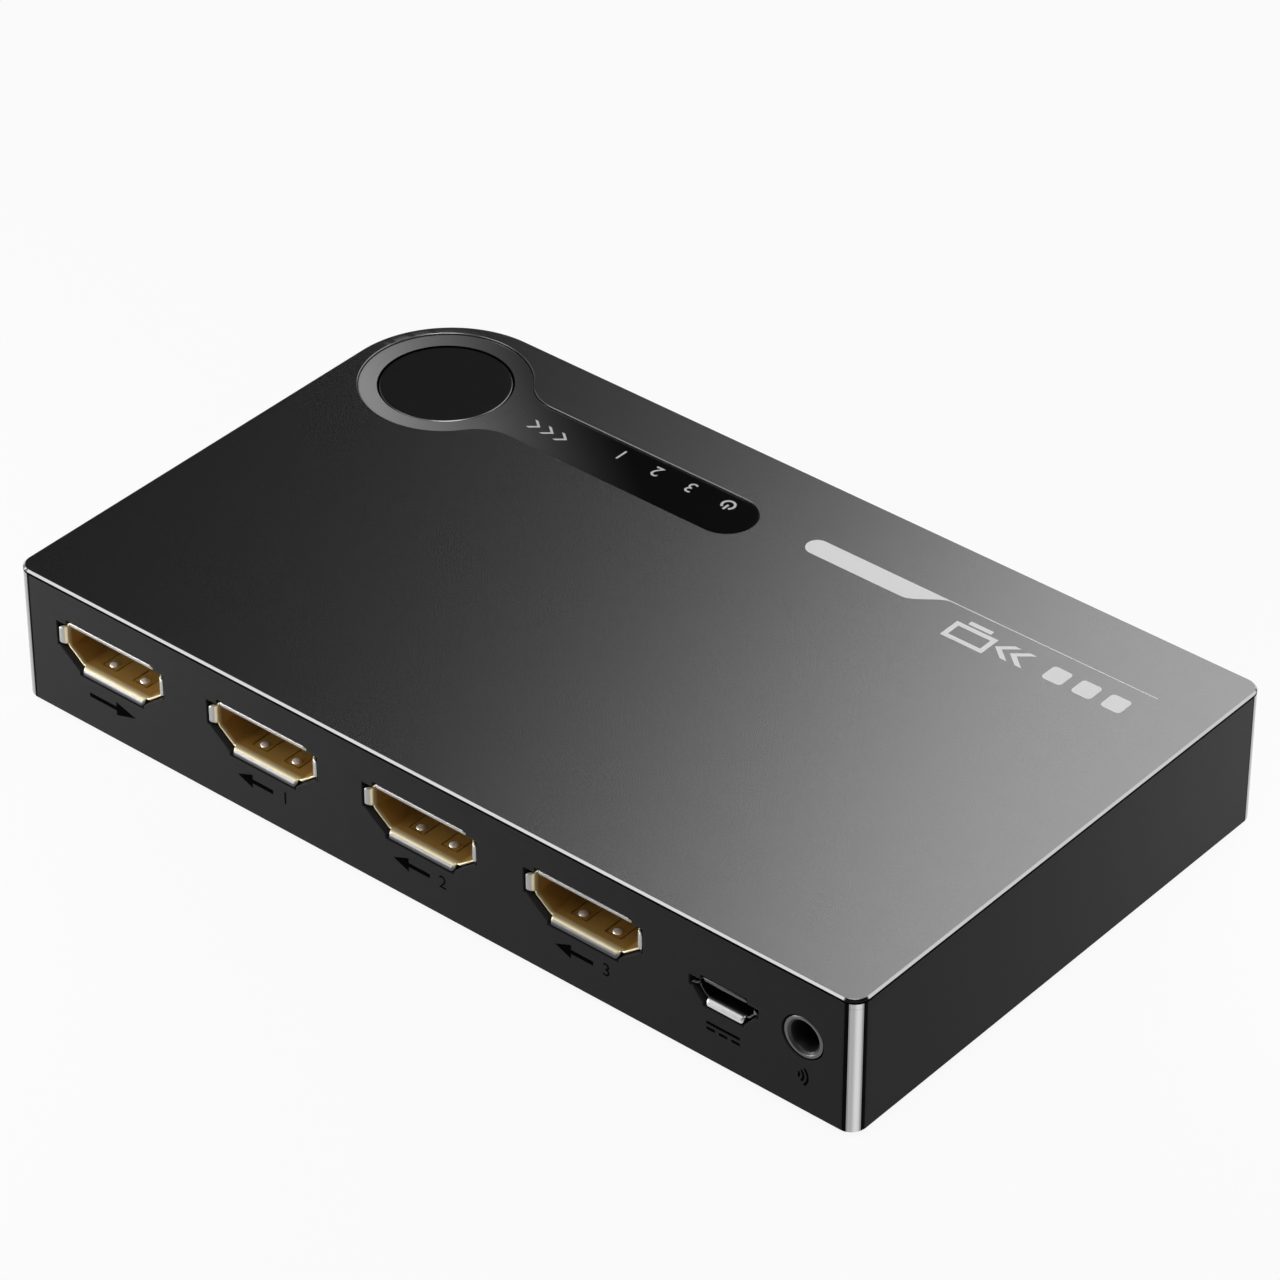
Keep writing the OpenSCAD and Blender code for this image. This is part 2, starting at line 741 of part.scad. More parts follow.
module rubber_feet() {
    color([0.05, 0.05, 0.05])
    for (s = foot_spots) translate([s[0], s[1], 0]) cylinder(h = foot_t, d = foot_d);
}

module indicator_panel() {
    hole_r = button_r + button_gap;
    color([0.02, 0.02, 0.02])
    difference() {
        translate([0, 0, pocket_z]) linear_extrude(panel_t) keyhole(0);
        translate([button_x, button_y, 0]) {
            cylinder(h = top_z, r = hole_r);
            translate([0, 0, panel_z - dish_depth])
                cylinder(h = dish_depth, r1 = hole_r, r2 = ring_r - dish_land);
        }
    }
}

module select_button() {
    skirt_r = button_r - button_skirt_t;
    rod_r = button_rod_d / 2;
    rod_end_z = plunger_top_z + press_gap;
    face_under_z = button_z - button_face_t;
    color([0.08, 0.08, 0.08])
    translate([button_x, button_y, 0]) rotate_extrude() polygon([
        [0, rod_end_z], [rod_r, rod_end_z], [rod_r, face_under_z], [skirt_r, face_under_z],
        [skirt_r, flange_top_z - flange_t], [flange_r, flange_top_z - flange_t], [flange_r, flange_top_z],
        [button_r, flange_top_z], [button_r, button_z - button_edge],
        [button_r - button_edge, button_z], [0, button_z]
    ]);
}

// Button switch: levels of its cover plate, its plunger's flange and its dome
dome_h = button_travel + dome_t;
plate_z = board_z + switch_base_h;
plunger_flange_z = plate_z - press_gap - plunger_flange_t;
dome_z = plunger_flange_z - press_gap - dome_h;
switch_spot = [button_x, button_y];

module button_switch_base() {
    color([0.1, 0.1, 0.1])
    difference() {
        stand(switch_spot, board_z, [switch_w, switch_w, switch_base_h]);
        translate([button_x, button_y, dome_z])
            cylinder(h = switch_base_h, d = plunger_flange_d + 4 * plunger_gap);
    }
}

module button_switch_plate() {
    color([0.7, 0.7, 0.72])
    difference() {
        stand(switch_spot, plate_z, [switch_w, switch_w, switch_plate_t]);
        translate([button_x, button_y, 0]) cylinder(h = button_z, d = plunger_d + 2 * plunger_gap);
    }
}

module button_switch_plunger() {
    color([0.12, 0.12, 0.12])
    translate([button_x, button_y, plunger_flange_z]) {
        cylinder(h = plunger_flange_t, d = plunger_flange_d);
        cylinder(h = plunger_top_z - plunger_flange_z, d = plunger_d);
    }
}

module button_switch_dome() {
    sphere_r = (pow(dome_d / 2, 2) + pow(dome_h, 2)) / (2 * dome_h);
    color([0.75, 0.75, 0.77])
    translate([button_x, button_y, dome_z]) intersection() {
        translate([0, 0, dome_h - sphere_r]) difference() {
            sphere(r = sphere_r);
            sphere(r = sphere_r - dome_t);
        }
        cylinder(h = 2 * dome_h, d = 2 * dome_d);
    }
}

module button_switch_legs() {
    side_x = switch_w / 2;
    leg_top_z = board_z + switch_base_h / 2;
    color([0.75, 0.75, 0.77])
    for (side = [-1, 1]) for (end = [-1, 1])
        stand(
            [button_x + side * (side_x + switch_leg_t / 2), button_y + end * switch_leg_pitch / 2],
            board_under_z - pin_past,
            [switch_leg_t, switch_leg_w, leg_top_z - board_under_z + pin_past]
        );
}

module main_board() {
    color([0.05, 0.22, 0.12])
    difference() {
        plan_slab(wall_t + board_gap, board_under_z, board_z);
        for (s = screw_spots) translate([s[0], s[1], 0]) cylinder(h = top_z, d = screw_d + 2 * screw_gap);
        for (side = [-1, 1]) for (end = [-1, 1])
            stand(
                [button_x + side * (switch_w + switch_leg_t) / 2, button_y + end * switch_leg_pitch / 2],
                0, [switch_leg_t + 2 * pin_gap, switch_leg_w + 2 * pin_gap, top_z]
            );
        for (k = [-1 : 1])
            translate([receiver_x + k * receiver_lead_pitch, button_y, 0])
                cylinder(h = top_z, r = receiver_lead_t / 2 + 2 * pin_gap);
        for (i = [0 : socket_count - 1]) for (side = [-1, 1]) for (y = [leg_front, leg_back])
            stand(
                [socket_x(i) + side * (mouth_w + shell_t) / 2, shell_y + y],
                0, [shell_t + 2 * pin_gap, leg_w + 2 * pin_gap, top_z]
            );
        for (side = [-1, 1])
            stand(
                [power_x + side * (power_w + shell_t) / 2, power_end_y - leg_w],
                0, [shell_t + 2 * pin_gap, leg_w + 2 * pin_gap, top_z]
            );
    }
}

// Flared lips on the four sides of a shell's opening, cut short of the corners and rooted in its walls
module lips(w, h, side, floor_w, flare, y) {
    short = shell_t;
    root = y + tab_root;
    for (dir = [-1, 1]) {
        half = dir > 0 ? w / 2 - flare : floor_w / 2 - short;
        inner_z = dir * h / 2;
        along_x(-half, half) polygon([
            [root, inner_z], [y, inner_z], [y - flare, inner_z + dir * flare],
            [y - flare, inner_z + dir * (flare + shell_t)], [y, inner_z + dir * shell_t],
            [root, inner_z + dir * shell_t]
        ]);
        translate([0, 0, h / 2 - side + short]) linear_extrude(side - 2 * short) polygon([
            [dir * w / 2, root], [dir * w / 2, y], [dir * (w / 2 + flare), y - flare],
            [dir * (w / 2 + flare + shell_t), y - flare], [dir * (w / 2 + shell_t), y],
            [dir * (w / 2 + shell_t), root]
        ]);
    }
}

// Sheet shell of a socket with its opening's middle on the Y axis
module shell_tube(w, h, side, floor_w, y0, y1) {
    along_y(y0, y1) difference() {
        polygon(mouth_points(w, h, side, floor_w, shell_t));
        polygon(mouth_points(w, h, side, floor_w, 0));
    }
}

module socket_shell(i) {
    dimple_y = shell_y + finger_start + slit_w + dimple_from_tip;
    color([0.83, 0.66, 0.32])
    translate([socket_x(i), 0, socket_z]) {
        difference() {
            shell_tube(mouth_w, mouth_h, mouth_side, mouth_floor_w, shell_y, shell_end_y);
            for (dir = [-1, 1]) for (side = [-1, 1])
                finger_slit(side * finger_x, dir * (mouth_h + shell_t) / 2);
            stand([0, shell_end_y - block_l / 2], -mouth_h, [mouth_floor_w, block_l + over, mouth_h]);
        }
        lips(mouth_w, mouth_h, mouth_side, mouth_floor_w, lip_flare, shell_y);
        for (dir = [-1, 1]) for (side = [-1, 1])
            translate([side * finger_x, dimple_y, dir * mouth_h / 2]) dimple(dir);
        for (side = [-1, 1]) for (y = [leg_front, leg_back])
            shell_leg(side * (mouth_w + shell_t) / 2, shell_y + y, mouth_h / 2 - mouth_side, socket_z);
    }
}
// Slit around a finger that stays joined at its back end
module finger_slit(x, z) {
    wide = finger_w + 2 * slit_w;
    y = shell_y + finger_start;
    difference() {
        stand([x, y + (finger_l + slit_w) / 2], z - shell_t, [wide, finger_l + slit_w, 2 * shell_t]);
        stand([x, y + slit_w + finger_l], z - 2 * shell_t, [finger_w, 2 * finger_l, 4 * shell_t]);
    }
}
// Round bump on the inner face of a roof or floor
module dimple(dir) {
    ball_r = (pow(dimple_d / 2, 2) + pow(dimple_h, 2)) / (2 * dimple_h);
    intersection() {
        translate([0, 0, dir * (ball_r - dimple_h)]) sphere(r = ball_r);
        cube([2 * dimple_d, 2 * dimple_d, shell_t + dimple_h], center = true);
    }
}
// Leg of a shell, from a level on its side wall down through the board
module shell_leg(x, y, top, centre_z) {
    low = board_under_z - pin_past - centre_z;
    stand([x, y], low, [shell_t, leg_w, top + tab_root - low]);
}

// Contact: a strip along the tongue, a tail down the insulator's back and a foot on the board
module contact(x, y0, y1, z, dir, foot_z) {
    out = z + dir * contact_proud;
    deep = out - dir * contact_t;
    upper = max(out, deep);
    lower = min(out, deep);
    along_x(x - contact_w / 2, x + contact_w / 2) polygon([
        [y0, lower], [y1, lower], [y1, foot_z], [y1 + contact_t + contact_foot, foot_z],
        [y1 + contact_t + contact_foot, foot_z + contact_t], [y1 + contact_t, foot_z + contact_t],
        [y1 + contact_t, upper], [y0, upper]
    ]);
}

module contact_rows(i) {
    y0 = tongue_y + contact_setback;
    foot_z = board_z - socket_z;
    translate([socket_x(i), 0, socket_z]) {
        for (k = [0 : upper_contacts - 1])
            contact(row_x(k, upper_contacts, contact_pitch), y0, shell_end_y, tongue_t / 2, 1, foot_z);
        for (k = [0 : lower_contacts - 1])
            contact(row_x(k, lower_contacts, contact_pitch), y0, shell_end_y, -tongue_t / 2, -1, foot_z);
    }
}

module socket_insulator(i) {
    block_y = shell_end_y - block_l;
    foot_w = mouth_floor_w - 2 * shell_t;
    color([0.06, 0.06, 0.06])
    difference() {
        translate([socket_x(i), 0, socket_z]) {
            along_y(block_y, shell_end_y)
                polygon(mouth_points(mouth_w, mouth_h, mouth_side, mouth_floor_w, -press_gap));
            block([-tongue_w / 2, tongue_y, -tongue_t / 2], [tongue_w / 2, shell_end_y, tongue_t / 2]);
            block([-foot_w / 2, block_y + press_gap, board_z - socket_z], [foot_w / 2, shell_end_y, 0]);
        }
        contact_rows(i);
    }
}

module socket_contacts(i) {
    color([0.85, 0.7, 0.36]) contact_rows(i);
}

module output_socket_shell() { socket_shell(0); }
module output_socket_insulator() { socket_insulator(0); }
module output_socket_contacts() { socket_contacts(0); }
module input_1_socket_shell() { socket_shell(1); }
module input_1_socket_insulator() { socket_insulator(1); }
module input_1_socket_contacts() { socket_contacts(1); }
module input_2_socket_shell() { socket_shell(2); }
module input_2_socket_insulator() { socket_insulator(2); }
module input_2_socket_contacts() { socket_contacts(2); }
module input_3_socket_shell() { socket_shell(3); }
module input_3_socket_insulator() { socket_insulator(3); }
module input_3_socket_contacts() { socket_contacts(3); }

module power_socket_shell() {
    color([0.75, 0.75, 0.77])
    translate([power_x, 0, power_z]) {
        difference() {
            shell_tube(power_w, power_h, power_side, power_floor_w, power_shell_y, power_end_y);
            stand(
                [0, power_end_y - power_block_l / 2],
                -power_h, [power_floor_w, power_block_l + over, power_h]
            );
        }
        lips(power_w, power_h, power_side, power_floor_w, power_flare, power_shell_y);
        for (side = [-1, 1])
            shell_leg(
                side * (power_w + shell_t) / 2, power_end_y - leg_w,
                power_h / 2 - power_side, power_z
            );
    }
}

module power_contact_row() {
    y0 = lip_y + power_tongue_recess + contact_setback;
    z = power_tongue_z - power_z;
    translate([power_x, 0, power_z]) for (k = [0 : power_contacts - 1])
        contact(row_x(k, power_contacts, power_pitch), y0, power_end_y, z, -1, board_z - power_z);
}

module power_socket_insulator() {
    block_y = power_end_y - power_block_l;
    foot_w = power_floor_w - 2 * shell_t;
    color([0.06, 0.06, 0.06])
    difference() {
        union() {
            translate([power_x, 0, power_z]) {
                along_y(block_y, power_end_y)
                    polygon(mouth_points(power_w, power_h, power_side, power_floor_w, -press_gap));
                block([-foot_w / 2, block_y + press_gap, board_z - power_z], [foot_w / 2, power_end_y, 0]);
            }
            block(
                [power_x - power_tongue_w / 2, lip_y + power_tongue_recess, power_tongue_z],
                [power_x + power_tongue_w / 2, power_end_y, power_tongue_z + power_tongue_t]
            );
        }
        power_contact_row();
    }
}

module power_socket_contacts() {
    color([0.85, 0.7, 0.36]) power_contact_row();
}

module infrared_jack_body() {
    color([0.06, 0.06, 0.06])
    difference() {
        stand([jack_x, jack_y + jack_l / 2], board_z, [jack_w, jack_l, jack_h]);
        translate([jack_x, 0, jack_z]) {
            along_y(jack_y - over, jack_y + jack_l - jack_end_t) circle(r = jack_bore_r);
            along_y(jack_y - over, jack_y + jack_spigot_l + press_gap)
                circle(d = jack_spigot_d + 2 * press_gap);
        }
        for (c = jack_contacts)
            block_between(
                jack_x, jack_x + c[0] * jack_w, jack_y + c[1] * jack_l, spring_w / 2 + press_gap,
                jack_z - spring_t / 2 - press_gap, jack_z + spring_t / 2 + press_gap
            );
    }
}
// Block between two X values in any order, around a Y value
module block_between(x0, x1, y, half, z0, z1) {
    block([min(x0, x1), y - half, z0], [max(x0, x1), y + half, z1]);
}

module infrared_jack_collar() {
    color([0.6, 0.6, 0.62])
    translate([jack_x, 0, jack_z]) difference() {
        union() {
            along_y(lip_y, jack_y) circle(d = jack_collar_d);
            along_y(lip_y, jack_y + jack_spigot_l) circle(d = jack_spigot_d);
        }
        along_y(lip_y - over, jack_y + jack_l) circle(r = jack_bore_r);
    }
}

module infrared_jack_contacts() {
    inner = jack_bore_r + spring_gap;
    side = jack_w / 2;
    out = side + spring_t;
    foot = board_z - jack_z;
    half_t = spring_t / 2;
    color([0.75, 0.75, 0.77])
    for (c = jack_contacts)
        translate([jack_x, 0, jack_z])
            along_y(jack_y + c[1] * jack_l - spring_w / 2, jack_y + c[1] * jack_l + spring_w / 2)
                polygon([
                    for (p = [
                        [inner, -half_t], [side, -half_t], [side, foot], [out + spring_foot, foot],
                        [out + spring_foot, foot + spring_t], [out, foot + spring_t],
                        [out, half_t], [inner, half_t]
                    ]) [c[0] * p[0], p[1]]
                ]);
}

module infrared_receiver() {
    color([0.05, 0.04, 0.05])
    {
        stand([receiver_x, button_y], receiver_z, [receiver_w, receiver_d, receiver_h]);
        translate([receiver_x, button_y, receiver_z + receiver_h]) intersection() {
            sphere(d = receiver_lens_d);
            translate([0, 0, -receiver_h / 2])
                cylinder(h = receiver_h / 2 + receiver_lens_d, d = 2 * receiver_lens_d);
        }
    }
}

module infrared_receiver_leads() {
    color([0.75, 0.75, 0.77])
    for (k = [-1 : 1])
        stand(
            [receiver_x + k * receiver_lead_pitch, button_y], board_under_z - pin_past,
            [receiver_lead_t, receiver_lead_t, receiver_z - board_under_z + pin_past]
        );
}

module indicator_lamps() {
    color([0.9, 0.92, 0.85])
    for (i = [0 : lamp_count - 1]) stand([lamp_x(i), lamp_y], board_z, [lamp_l, lamp_w, lamp_h]);
}

module light_guide() {
    rod_z = board_z + lamp_h + lamp_gap;
    bar_l = (lamp_count - 1) * lamp_pitch + 2 * guide_rod_d;
    middle = (lamp_x(0) + lamp_x(lamp_count - 1)) / 2;
    color([0.85, 0.88, 0.9])
    {
        stand([middle, lamp_y], ceiling_z - guide_bar_t, [bar_l, guide_bar_w, guide_bar_t]);
        for (i = [0 : lamp_count - 1])
            translate([lamp_x(i), lamp_y, rod_z])
                cylinder(h = pocket_z - press_gap - rod_z, d = guide_rod_d);
    }
}

// Leads of a chip along one side: bent strips from the chip's side down to the board
module lead_row(spot, turn, out, count, pitch, height) {
    mid = board_z + height / 2;
    bend = out + lead_reach / 3;
    translate([spot[0], spot[1], 0]) rotate([0, 0, turn]) for (k = [0 : count - 1])
        along_x(row_x(k, count, pitch) - lead_w / 2, row_x(k, count, pitch) + lead_w / 2)
            polygon([
                [out, mid], [bend, mid], [bend, board_z], [out + lead_reach, board_z],
                [out + lead_reach, board_z + lead_t], [bend + lead_t, board_z + lead_t],
                [bend + lead_t, mid + lead_t], [out, mid + lead_t]
            ]);
}

module switch_chip() {
    color([0.07, 0.07, 0.07]) stand([chip_x, chip_y], board_z, [chip_w, chip_w, chip_t]);
}

module switch_chip_leads() {
    color([0.75, 0.75, 0.77])
    for (turn = [0 : 90 : 270])
        lead_row([chip_x, chip_y], turn, chip_w / 2, chip_leads, chip_pitch, chip_t);
}

module control_chip() {
    color([0.07, 0.07, 0.07]) stand([control_x, control_y], board_z, [control_l, control_w, chip_t]);
}

module control_chip_leads() {
    color([0.75, 0.75, 0.77])
    for (turn = [0, 180])
        lead_row([control_x, control_y], turn, control_w / 2, control_leads, control_pitch, chip_t);
}

module voltage_regulator() {
    color([0.07, 0.07, 0.07])
    stand([regulator_x, regulator_y], board_z, [regulator_w, regulator_d, regulator_h]);
}

module voltage_regulator_leads() {
    tab_w = regulator_w / 2;
    side = (regulator_d + lead_reach) / 2;
    color([0.75, 0.75, 0.77])
    {
        for (k = [-1 : 1])
            stand(
                [regulator_x + k * regulator_pitch, regulator_y - side],
                board_z, [regulator_lead_w, lead_reach, 2 * lead_t]
            );
        stand([regulator_x, regulator_y + side], board_z, [tab_w, lead_reach, 2 * lead_t]);
    }
}

// Places of the storage capacitors
storage_spots = [
    for (k = [0 : 1]) [right - storage_from_right - k * storage_pitch, front + storage_from_front]
];

module storage_capacitors() {
    color([0.75, 0.75, 0.77])
    for (s = storage_spots)
        translate([s[0], s[1], board_z + storage_base_t])
            cylinder(h = storage_h - storage_base_t, d = storage_d);
}

module storage_capacitor_bases() {
    color([0.1, 0.1, 0.1])
    for (s = storage_spots) stand(s, board_z, [storage_base_w, storage_base_w, storage_base_t]);
}

module chip_capacitors() {
    ring = chip_w / 2 + capacitor_ring;
    color([0.6, 0.48, 0.34])
    for (turn = [0 : 90 : 270]) for (k = [-1 : 1])
        translate([chip_x, chip_y, 0]) rotate([0, 0, turn])
            stand([k * capacitor_pitch, ring], board_z, [passive_l, passive_w, capacitor_h]);
}

module chip_resistors() {
    color([0.12, 0.12, 0.13])
    {
        for (i = [0 : lamp_count - 1])
            stand([lamp_x(i), lamp_y - resistor_offset], board_z, [passive_l, passive_w, resistor_h]);
        for (k = [0 : 2])
            stand(
                [control_x + control_l / 2 + 2 * passive_l, control_y + (k - 1) * resistor_pitch],
                board_z, [passive_l, passive_w, resistor_h]
            );
    }
}

module surge_arrays() {
    y = feet_end_y + surge_gap;
    color([0.07, 0.07, 0.07])
    for (i = [0 : socket_count - 1]) for (side = [-1, 1])
        stand([socket_x(i) + side * surge_x, y], board_z, [surge_l, surge_w, surge_h]);
}

base_tray();
top_cover();
case_screws();
rubber_feet();
indicator_panel();
select_button();
button_switch_base();
button_switch_plate();
button_switch_plunger();
button_switch_dome();
button_switch_legs();
main_board();
output_socket_shell();
output_socket_insulator();
output_socket_contacts();
input_1_socket_shell();
input_1_socket_insulator();
input_1_socket_contacts();
input_2_socket_shell();
input_2_socket_insulator();
input_2_socket_contacts();
input_3_socket_shell();
input_3_socket_insulator();
input_3_socket_contacts();
power_socket_shell();
power_socket_insulator();
power_socket_contacts();
infrared_jack_body();
infrared_jack_collar();
infrared_jack_contacts();
infrared_receiver();
infrared_receiver_leads();
indicator_lamps();
light_guide();
switch_chip();
switch_chip_leads();
control_chip();
control_chip_leads();
voltage_regulator();
voltage_regulator_leads();
storage_capacitors();
storage_capacitor_bases();
chip_capacitors();
chip_resistors();
surge_arrays();
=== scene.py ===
import json
from math import atan2, cos, pi, radians, sin, sqrt

import bmesh
import bpy
from mathutils import Matrix, Quaternion, Vector
from mathutils.geometry import tessellate_polygon


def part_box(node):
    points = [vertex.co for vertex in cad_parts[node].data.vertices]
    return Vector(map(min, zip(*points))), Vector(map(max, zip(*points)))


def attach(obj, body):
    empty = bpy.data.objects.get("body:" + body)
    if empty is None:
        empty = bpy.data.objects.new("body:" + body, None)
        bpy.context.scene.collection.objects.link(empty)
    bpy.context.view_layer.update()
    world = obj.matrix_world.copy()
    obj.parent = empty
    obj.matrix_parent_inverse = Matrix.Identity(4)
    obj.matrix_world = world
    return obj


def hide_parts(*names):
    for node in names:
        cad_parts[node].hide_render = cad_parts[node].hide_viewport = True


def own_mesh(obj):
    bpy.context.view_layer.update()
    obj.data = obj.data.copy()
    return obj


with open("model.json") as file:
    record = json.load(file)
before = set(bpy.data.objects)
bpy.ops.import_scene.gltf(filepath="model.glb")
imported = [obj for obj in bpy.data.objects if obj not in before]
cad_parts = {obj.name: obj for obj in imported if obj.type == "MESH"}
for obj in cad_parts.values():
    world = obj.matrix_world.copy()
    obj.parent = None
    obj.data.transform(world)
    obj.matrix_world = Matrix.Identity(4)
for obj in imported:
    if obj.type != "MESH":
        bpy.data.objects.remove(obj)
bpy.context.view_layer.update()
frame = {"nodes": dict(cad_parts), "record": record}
scene = bpy.context.scene
MM = 0.001

# Sizes of the case in millimetres, the same as in the solids
HALF_W, HALF_D = 59.0, 35.0
SMALL_R, LARGE_R = 2.0, 13.5
WALL = 1.8
TRAY_Z, FLOOR_Z, BOARD_UNDER_Z, BOARD_Z = 0.5, 2.5, 6.0, 7.6
CEILING_Z, RIM_Z, GROOVE_Z, GROOVE_TOP_Z, TOP_Z = 15.6, 16.8, 17.45, 17.65, 18.0
GROOVE_D = 0.35
FRONT_Y = -HALF_D
# Printed faces lie back by this much, so that the print stays inside the case's box
INK = 0.015
LID_Z = TOP_Z - INK

# Select button and the keyhole-shaped panel
BUTTON_X, BUTTON_Y = -47.0, 22.7
RING_R, STRIP_HALF, STRIP_END, NECK_R = 10.1, 3.65, 41.7, 6.0
PANEL_Z, POCKET_Z, HOLE_R = 17.8, 17.2, 7.9
LAMPS_X = (-22.0, -16.82, -11.64, -6.46)
LAMP_Y, LAMP_HOLE_R = 21.5, 1.2
RECEIVER_X, RECEIVER_HOLE_R = -30.5, 2.8

# Ports in the front wall; a mouth is its width, height, height of its upright sides and width of its floor
VIDEO_MOUTH, VIDEO_REACH = (14, 4.55, 2.9, 9.8), 1.1
POWER_MOUTH, POWER_REACH = (7, 1.85, 0.95, 5.5), 1.05
SHEET, LIP_TIP_Y = 0.25, -34.9
SOCKETS_X = (-45.0, -22.35, 0.3, 22.95)
SOCKET_Z = 10.45
POWER_X, POWER_Z = 41.8, 9.32
JACK_X, JACK_Z, JACK_HOLE_R = 52.1, 10.14, 2.7

# Screws and feet under the tray
SCREWS = ((-53.0, -17.0), (53.0, -17.0), (-28.0, 29.3), (53.0, 29.3))
FEET = ((-47.0, -23.0), (-47.0, 23.0), (47.0, -23.0), (47.0, 23.0))
POST_R, POST_BORE_R, BOSS_BORE_R = 2.8, 1.5, 1.25

# Points round a small corner, the large corner, a screw post and the button
SMALL_STEPS, LARGE_STEPS, POST_STEPS, BUTTON_STEPS = 20, 48, 40, 128


# ---------------------------------------------------------------- finishes

class Wire:
    """One output in a finish, so that sums on it are written as sums."""

    def __init__(self, finish, socket):
        self.finish, self.socket = finish, socket

    def maths(self, operation, *terms):
        return self.finish.node("ShaderNodeMath", {"operation": operation}, *terms)

    def __add__(self, other):
        return self.maths("ADD", self, other)

    def __radd__(self, other):
        return self.maths("ADD", other, self)

    def __sub__(self, other):
        return self.maths("SUBTRACT", self, other)

    def __rsub__(self, other):
        return self.maths("SUBTRACT", other, self)

    def __mul__(self, other):
        return self.maths("MULTIPLY", self, other)

    def __rmul__(self, other):
        return self.maths("MULTIPLY", other, self)

    def __truediv__(self, other):
        return self.maths("DIVIDE", self, other)


class Finish:
    """A procedural material on one Principled surface."""

    def __init__(self, name, **plain):
        self.name, self.material = name, bpy.data.materials.new(name)
        self.material.use_nodes = True
        self.tree = self.material.node_tree
        self.surface = self.tree.nodes["Principled BSDF"]
        for socket, value in plain.items():
            self.surface.inputs[socket.replace("_", " ")].default_value = value

    def join(self, term, socket):
        if isinstance(term, Wire):
            self.tree.links.new(term.socket, socket)
        else:
            socket.default_value = term

    def node(self, kind, settings, *terms, out=0, **named):
        made = self.tree.nodes.new(kind)
        for key, value in settings.items():
            setattr(made, key, value)
        for index, term in enumerate(terms):
            self.join(term, made.inputs[index])
        for key, term in named.items():
            self.join(term, next(s for s in made.inputs if s.identifier == key))
        return Wire(self, made.outputs[out])

    def spot(self, stretch=None):
        """Place on the piece, in metres, squeezed where a pattern runs long."""
        spot = self.node("ShaderNodeTexCoord", {}, out="Object")
        if stretch:
            spot = self.node("ShaderNodeMapping", {}, Vector=spot, Scale=stretch)
        return spot

    def along(self, axis):
        """Distance along one axis in millimetres."""
        return self.node("ShaderNodeSeparateXYZ", {}, self.spot(), out=axis) * (1 / MM)

    def speckle(self, size, detail=2.0, stretch=None):
        """Soft grain from 0 to 1, its size in millimetres."""
        return self.node("ShaderNodeTexNoise", {}, Vector=self.spot(stretch), Scale=1.0 / (size * MM),
                         Detail=detail, out="Fac")

    def ease(self, value, low, high, start=0.0, end=1.0):
        """A smooth step of value between low and high."""
        return self.node("ShaderNodeMapRange", {"interpolation_type": "SMOOTHSTEP"},
                         value, low, high, start, end)

    def tint(self, share, first, second):
        """A colour between two others."""
        first, second = ((*c, 1.0) if isinstance(c, tuple) else c for c in (first, second))
        return self.node("ShaderNodeMix", {"data_type": "RGBA"}, Factor_Float=share, A_Color=first,
                         B_Color=second, out=2)

    def feed(self, socket, wire):
        self.join(wire, self.surface.inputs[socket])
        return self

    def relief(self, height, depth):
        """Fine unevenness of the surface, its depth in millimetres."""
        return self.feed("Normal", self.node("ShaderNodeBump", {}, Height=height, Distance=depth * MM,
                                             Strength=1.0, out="Normal"))


# How a finish is mottled: share of the fine and the broad pattern, size of broad patches, swing of the gloss
FINE_SHARE, BROAD_SHARE = 0.6, 0.4
PATCH_IN_GRAINS, PATCH_MM = 22, 3.0
MOULDED_SWING, LINES_SWING = 0.06, 0.08
LINE_DETAIL = 3.0


def moulding(name, dark, light, grain, rough, depth=0.002, **plain):
    """Moulded or cast stuff: two near shades, uneven gloss and a fine grain."""
    made = Finish(name, **plain)
    fine, broad = made.speckle(grain), made.speckle(grain * PATCH_IN_GRAINS)
    made.feed("Base Color", made.tint(fine * FINE_SHARE + broad * BROAD_SHARE, dark, light))
    made.feed("Roughness", broad * MOULDED_SWING + (fine * MOULDED_SWING + (rough - MOULDED_SWING)))
    return made.relief(fine, depth)


def metal(name, dark, light, rough, stretch=(1.0, 1.0, 1.0), grain=0.08, depth=0.0008, patchy=0.06, **plain):
    """Rolled, drawn or plated metal with its working lines; without shades its colour is fed later."""
    made = Finish(name, **{"Metallic": 1.0, **plain})
    lines, cloud = made.speckle(grain, LINE_DETAIL, stretch), made.speckle(PATCH_MM)
    if dark:
        made.feed("Base Color", made.tint(lines * FINE_SHARE + cloud * BROAD_SHARE, dark, light))
    made.feed("Roughness", lines * LINES_SWING + (cloud * patchy + (rough - LINES_SWING / 2 - patchy / 2)))
    return made.relief(lines, depth)


# Lines of a pattern that run upright, or from the front to the back
UPRIGHT, INWARD = (3.0, 3.0, 0.03), (1.0, 0.1, 1.0)

# Case: satin walls, the lid's metallic coat, its bright cut edges
wall_black = moulding("wall_black", (0.021, 0.021, 0.0214), (0.028, 0.028, 0.0285), 0.09, 0.42, 0.0012,
                      IOR=1.09)
# Near-black painted shade for the lid's groove, the bands beside the corners' painted highlights, the bore
# round the button and the inside of the front wall
groove_black = moulding("groove_black", (0.001, 0.001, 0.001), (0.002, 0.002, 0.002), 0.2, 0.7, IOR=1.1)
lid_satin = metal("lid_satin", (0.36, 0.36, 0.365), (0.42, 0.42, 0.425), 0.27, grain=0.07, depth=0.0006,
                  patchy=0.0)
cut_edge = metal("cut_edge", (0.48, 0.48, 0.485), (0.60, 0.60, 0.605), 0.13, (0.05, 0.05, 6.0), 0.05,
                 patchy=0.02)
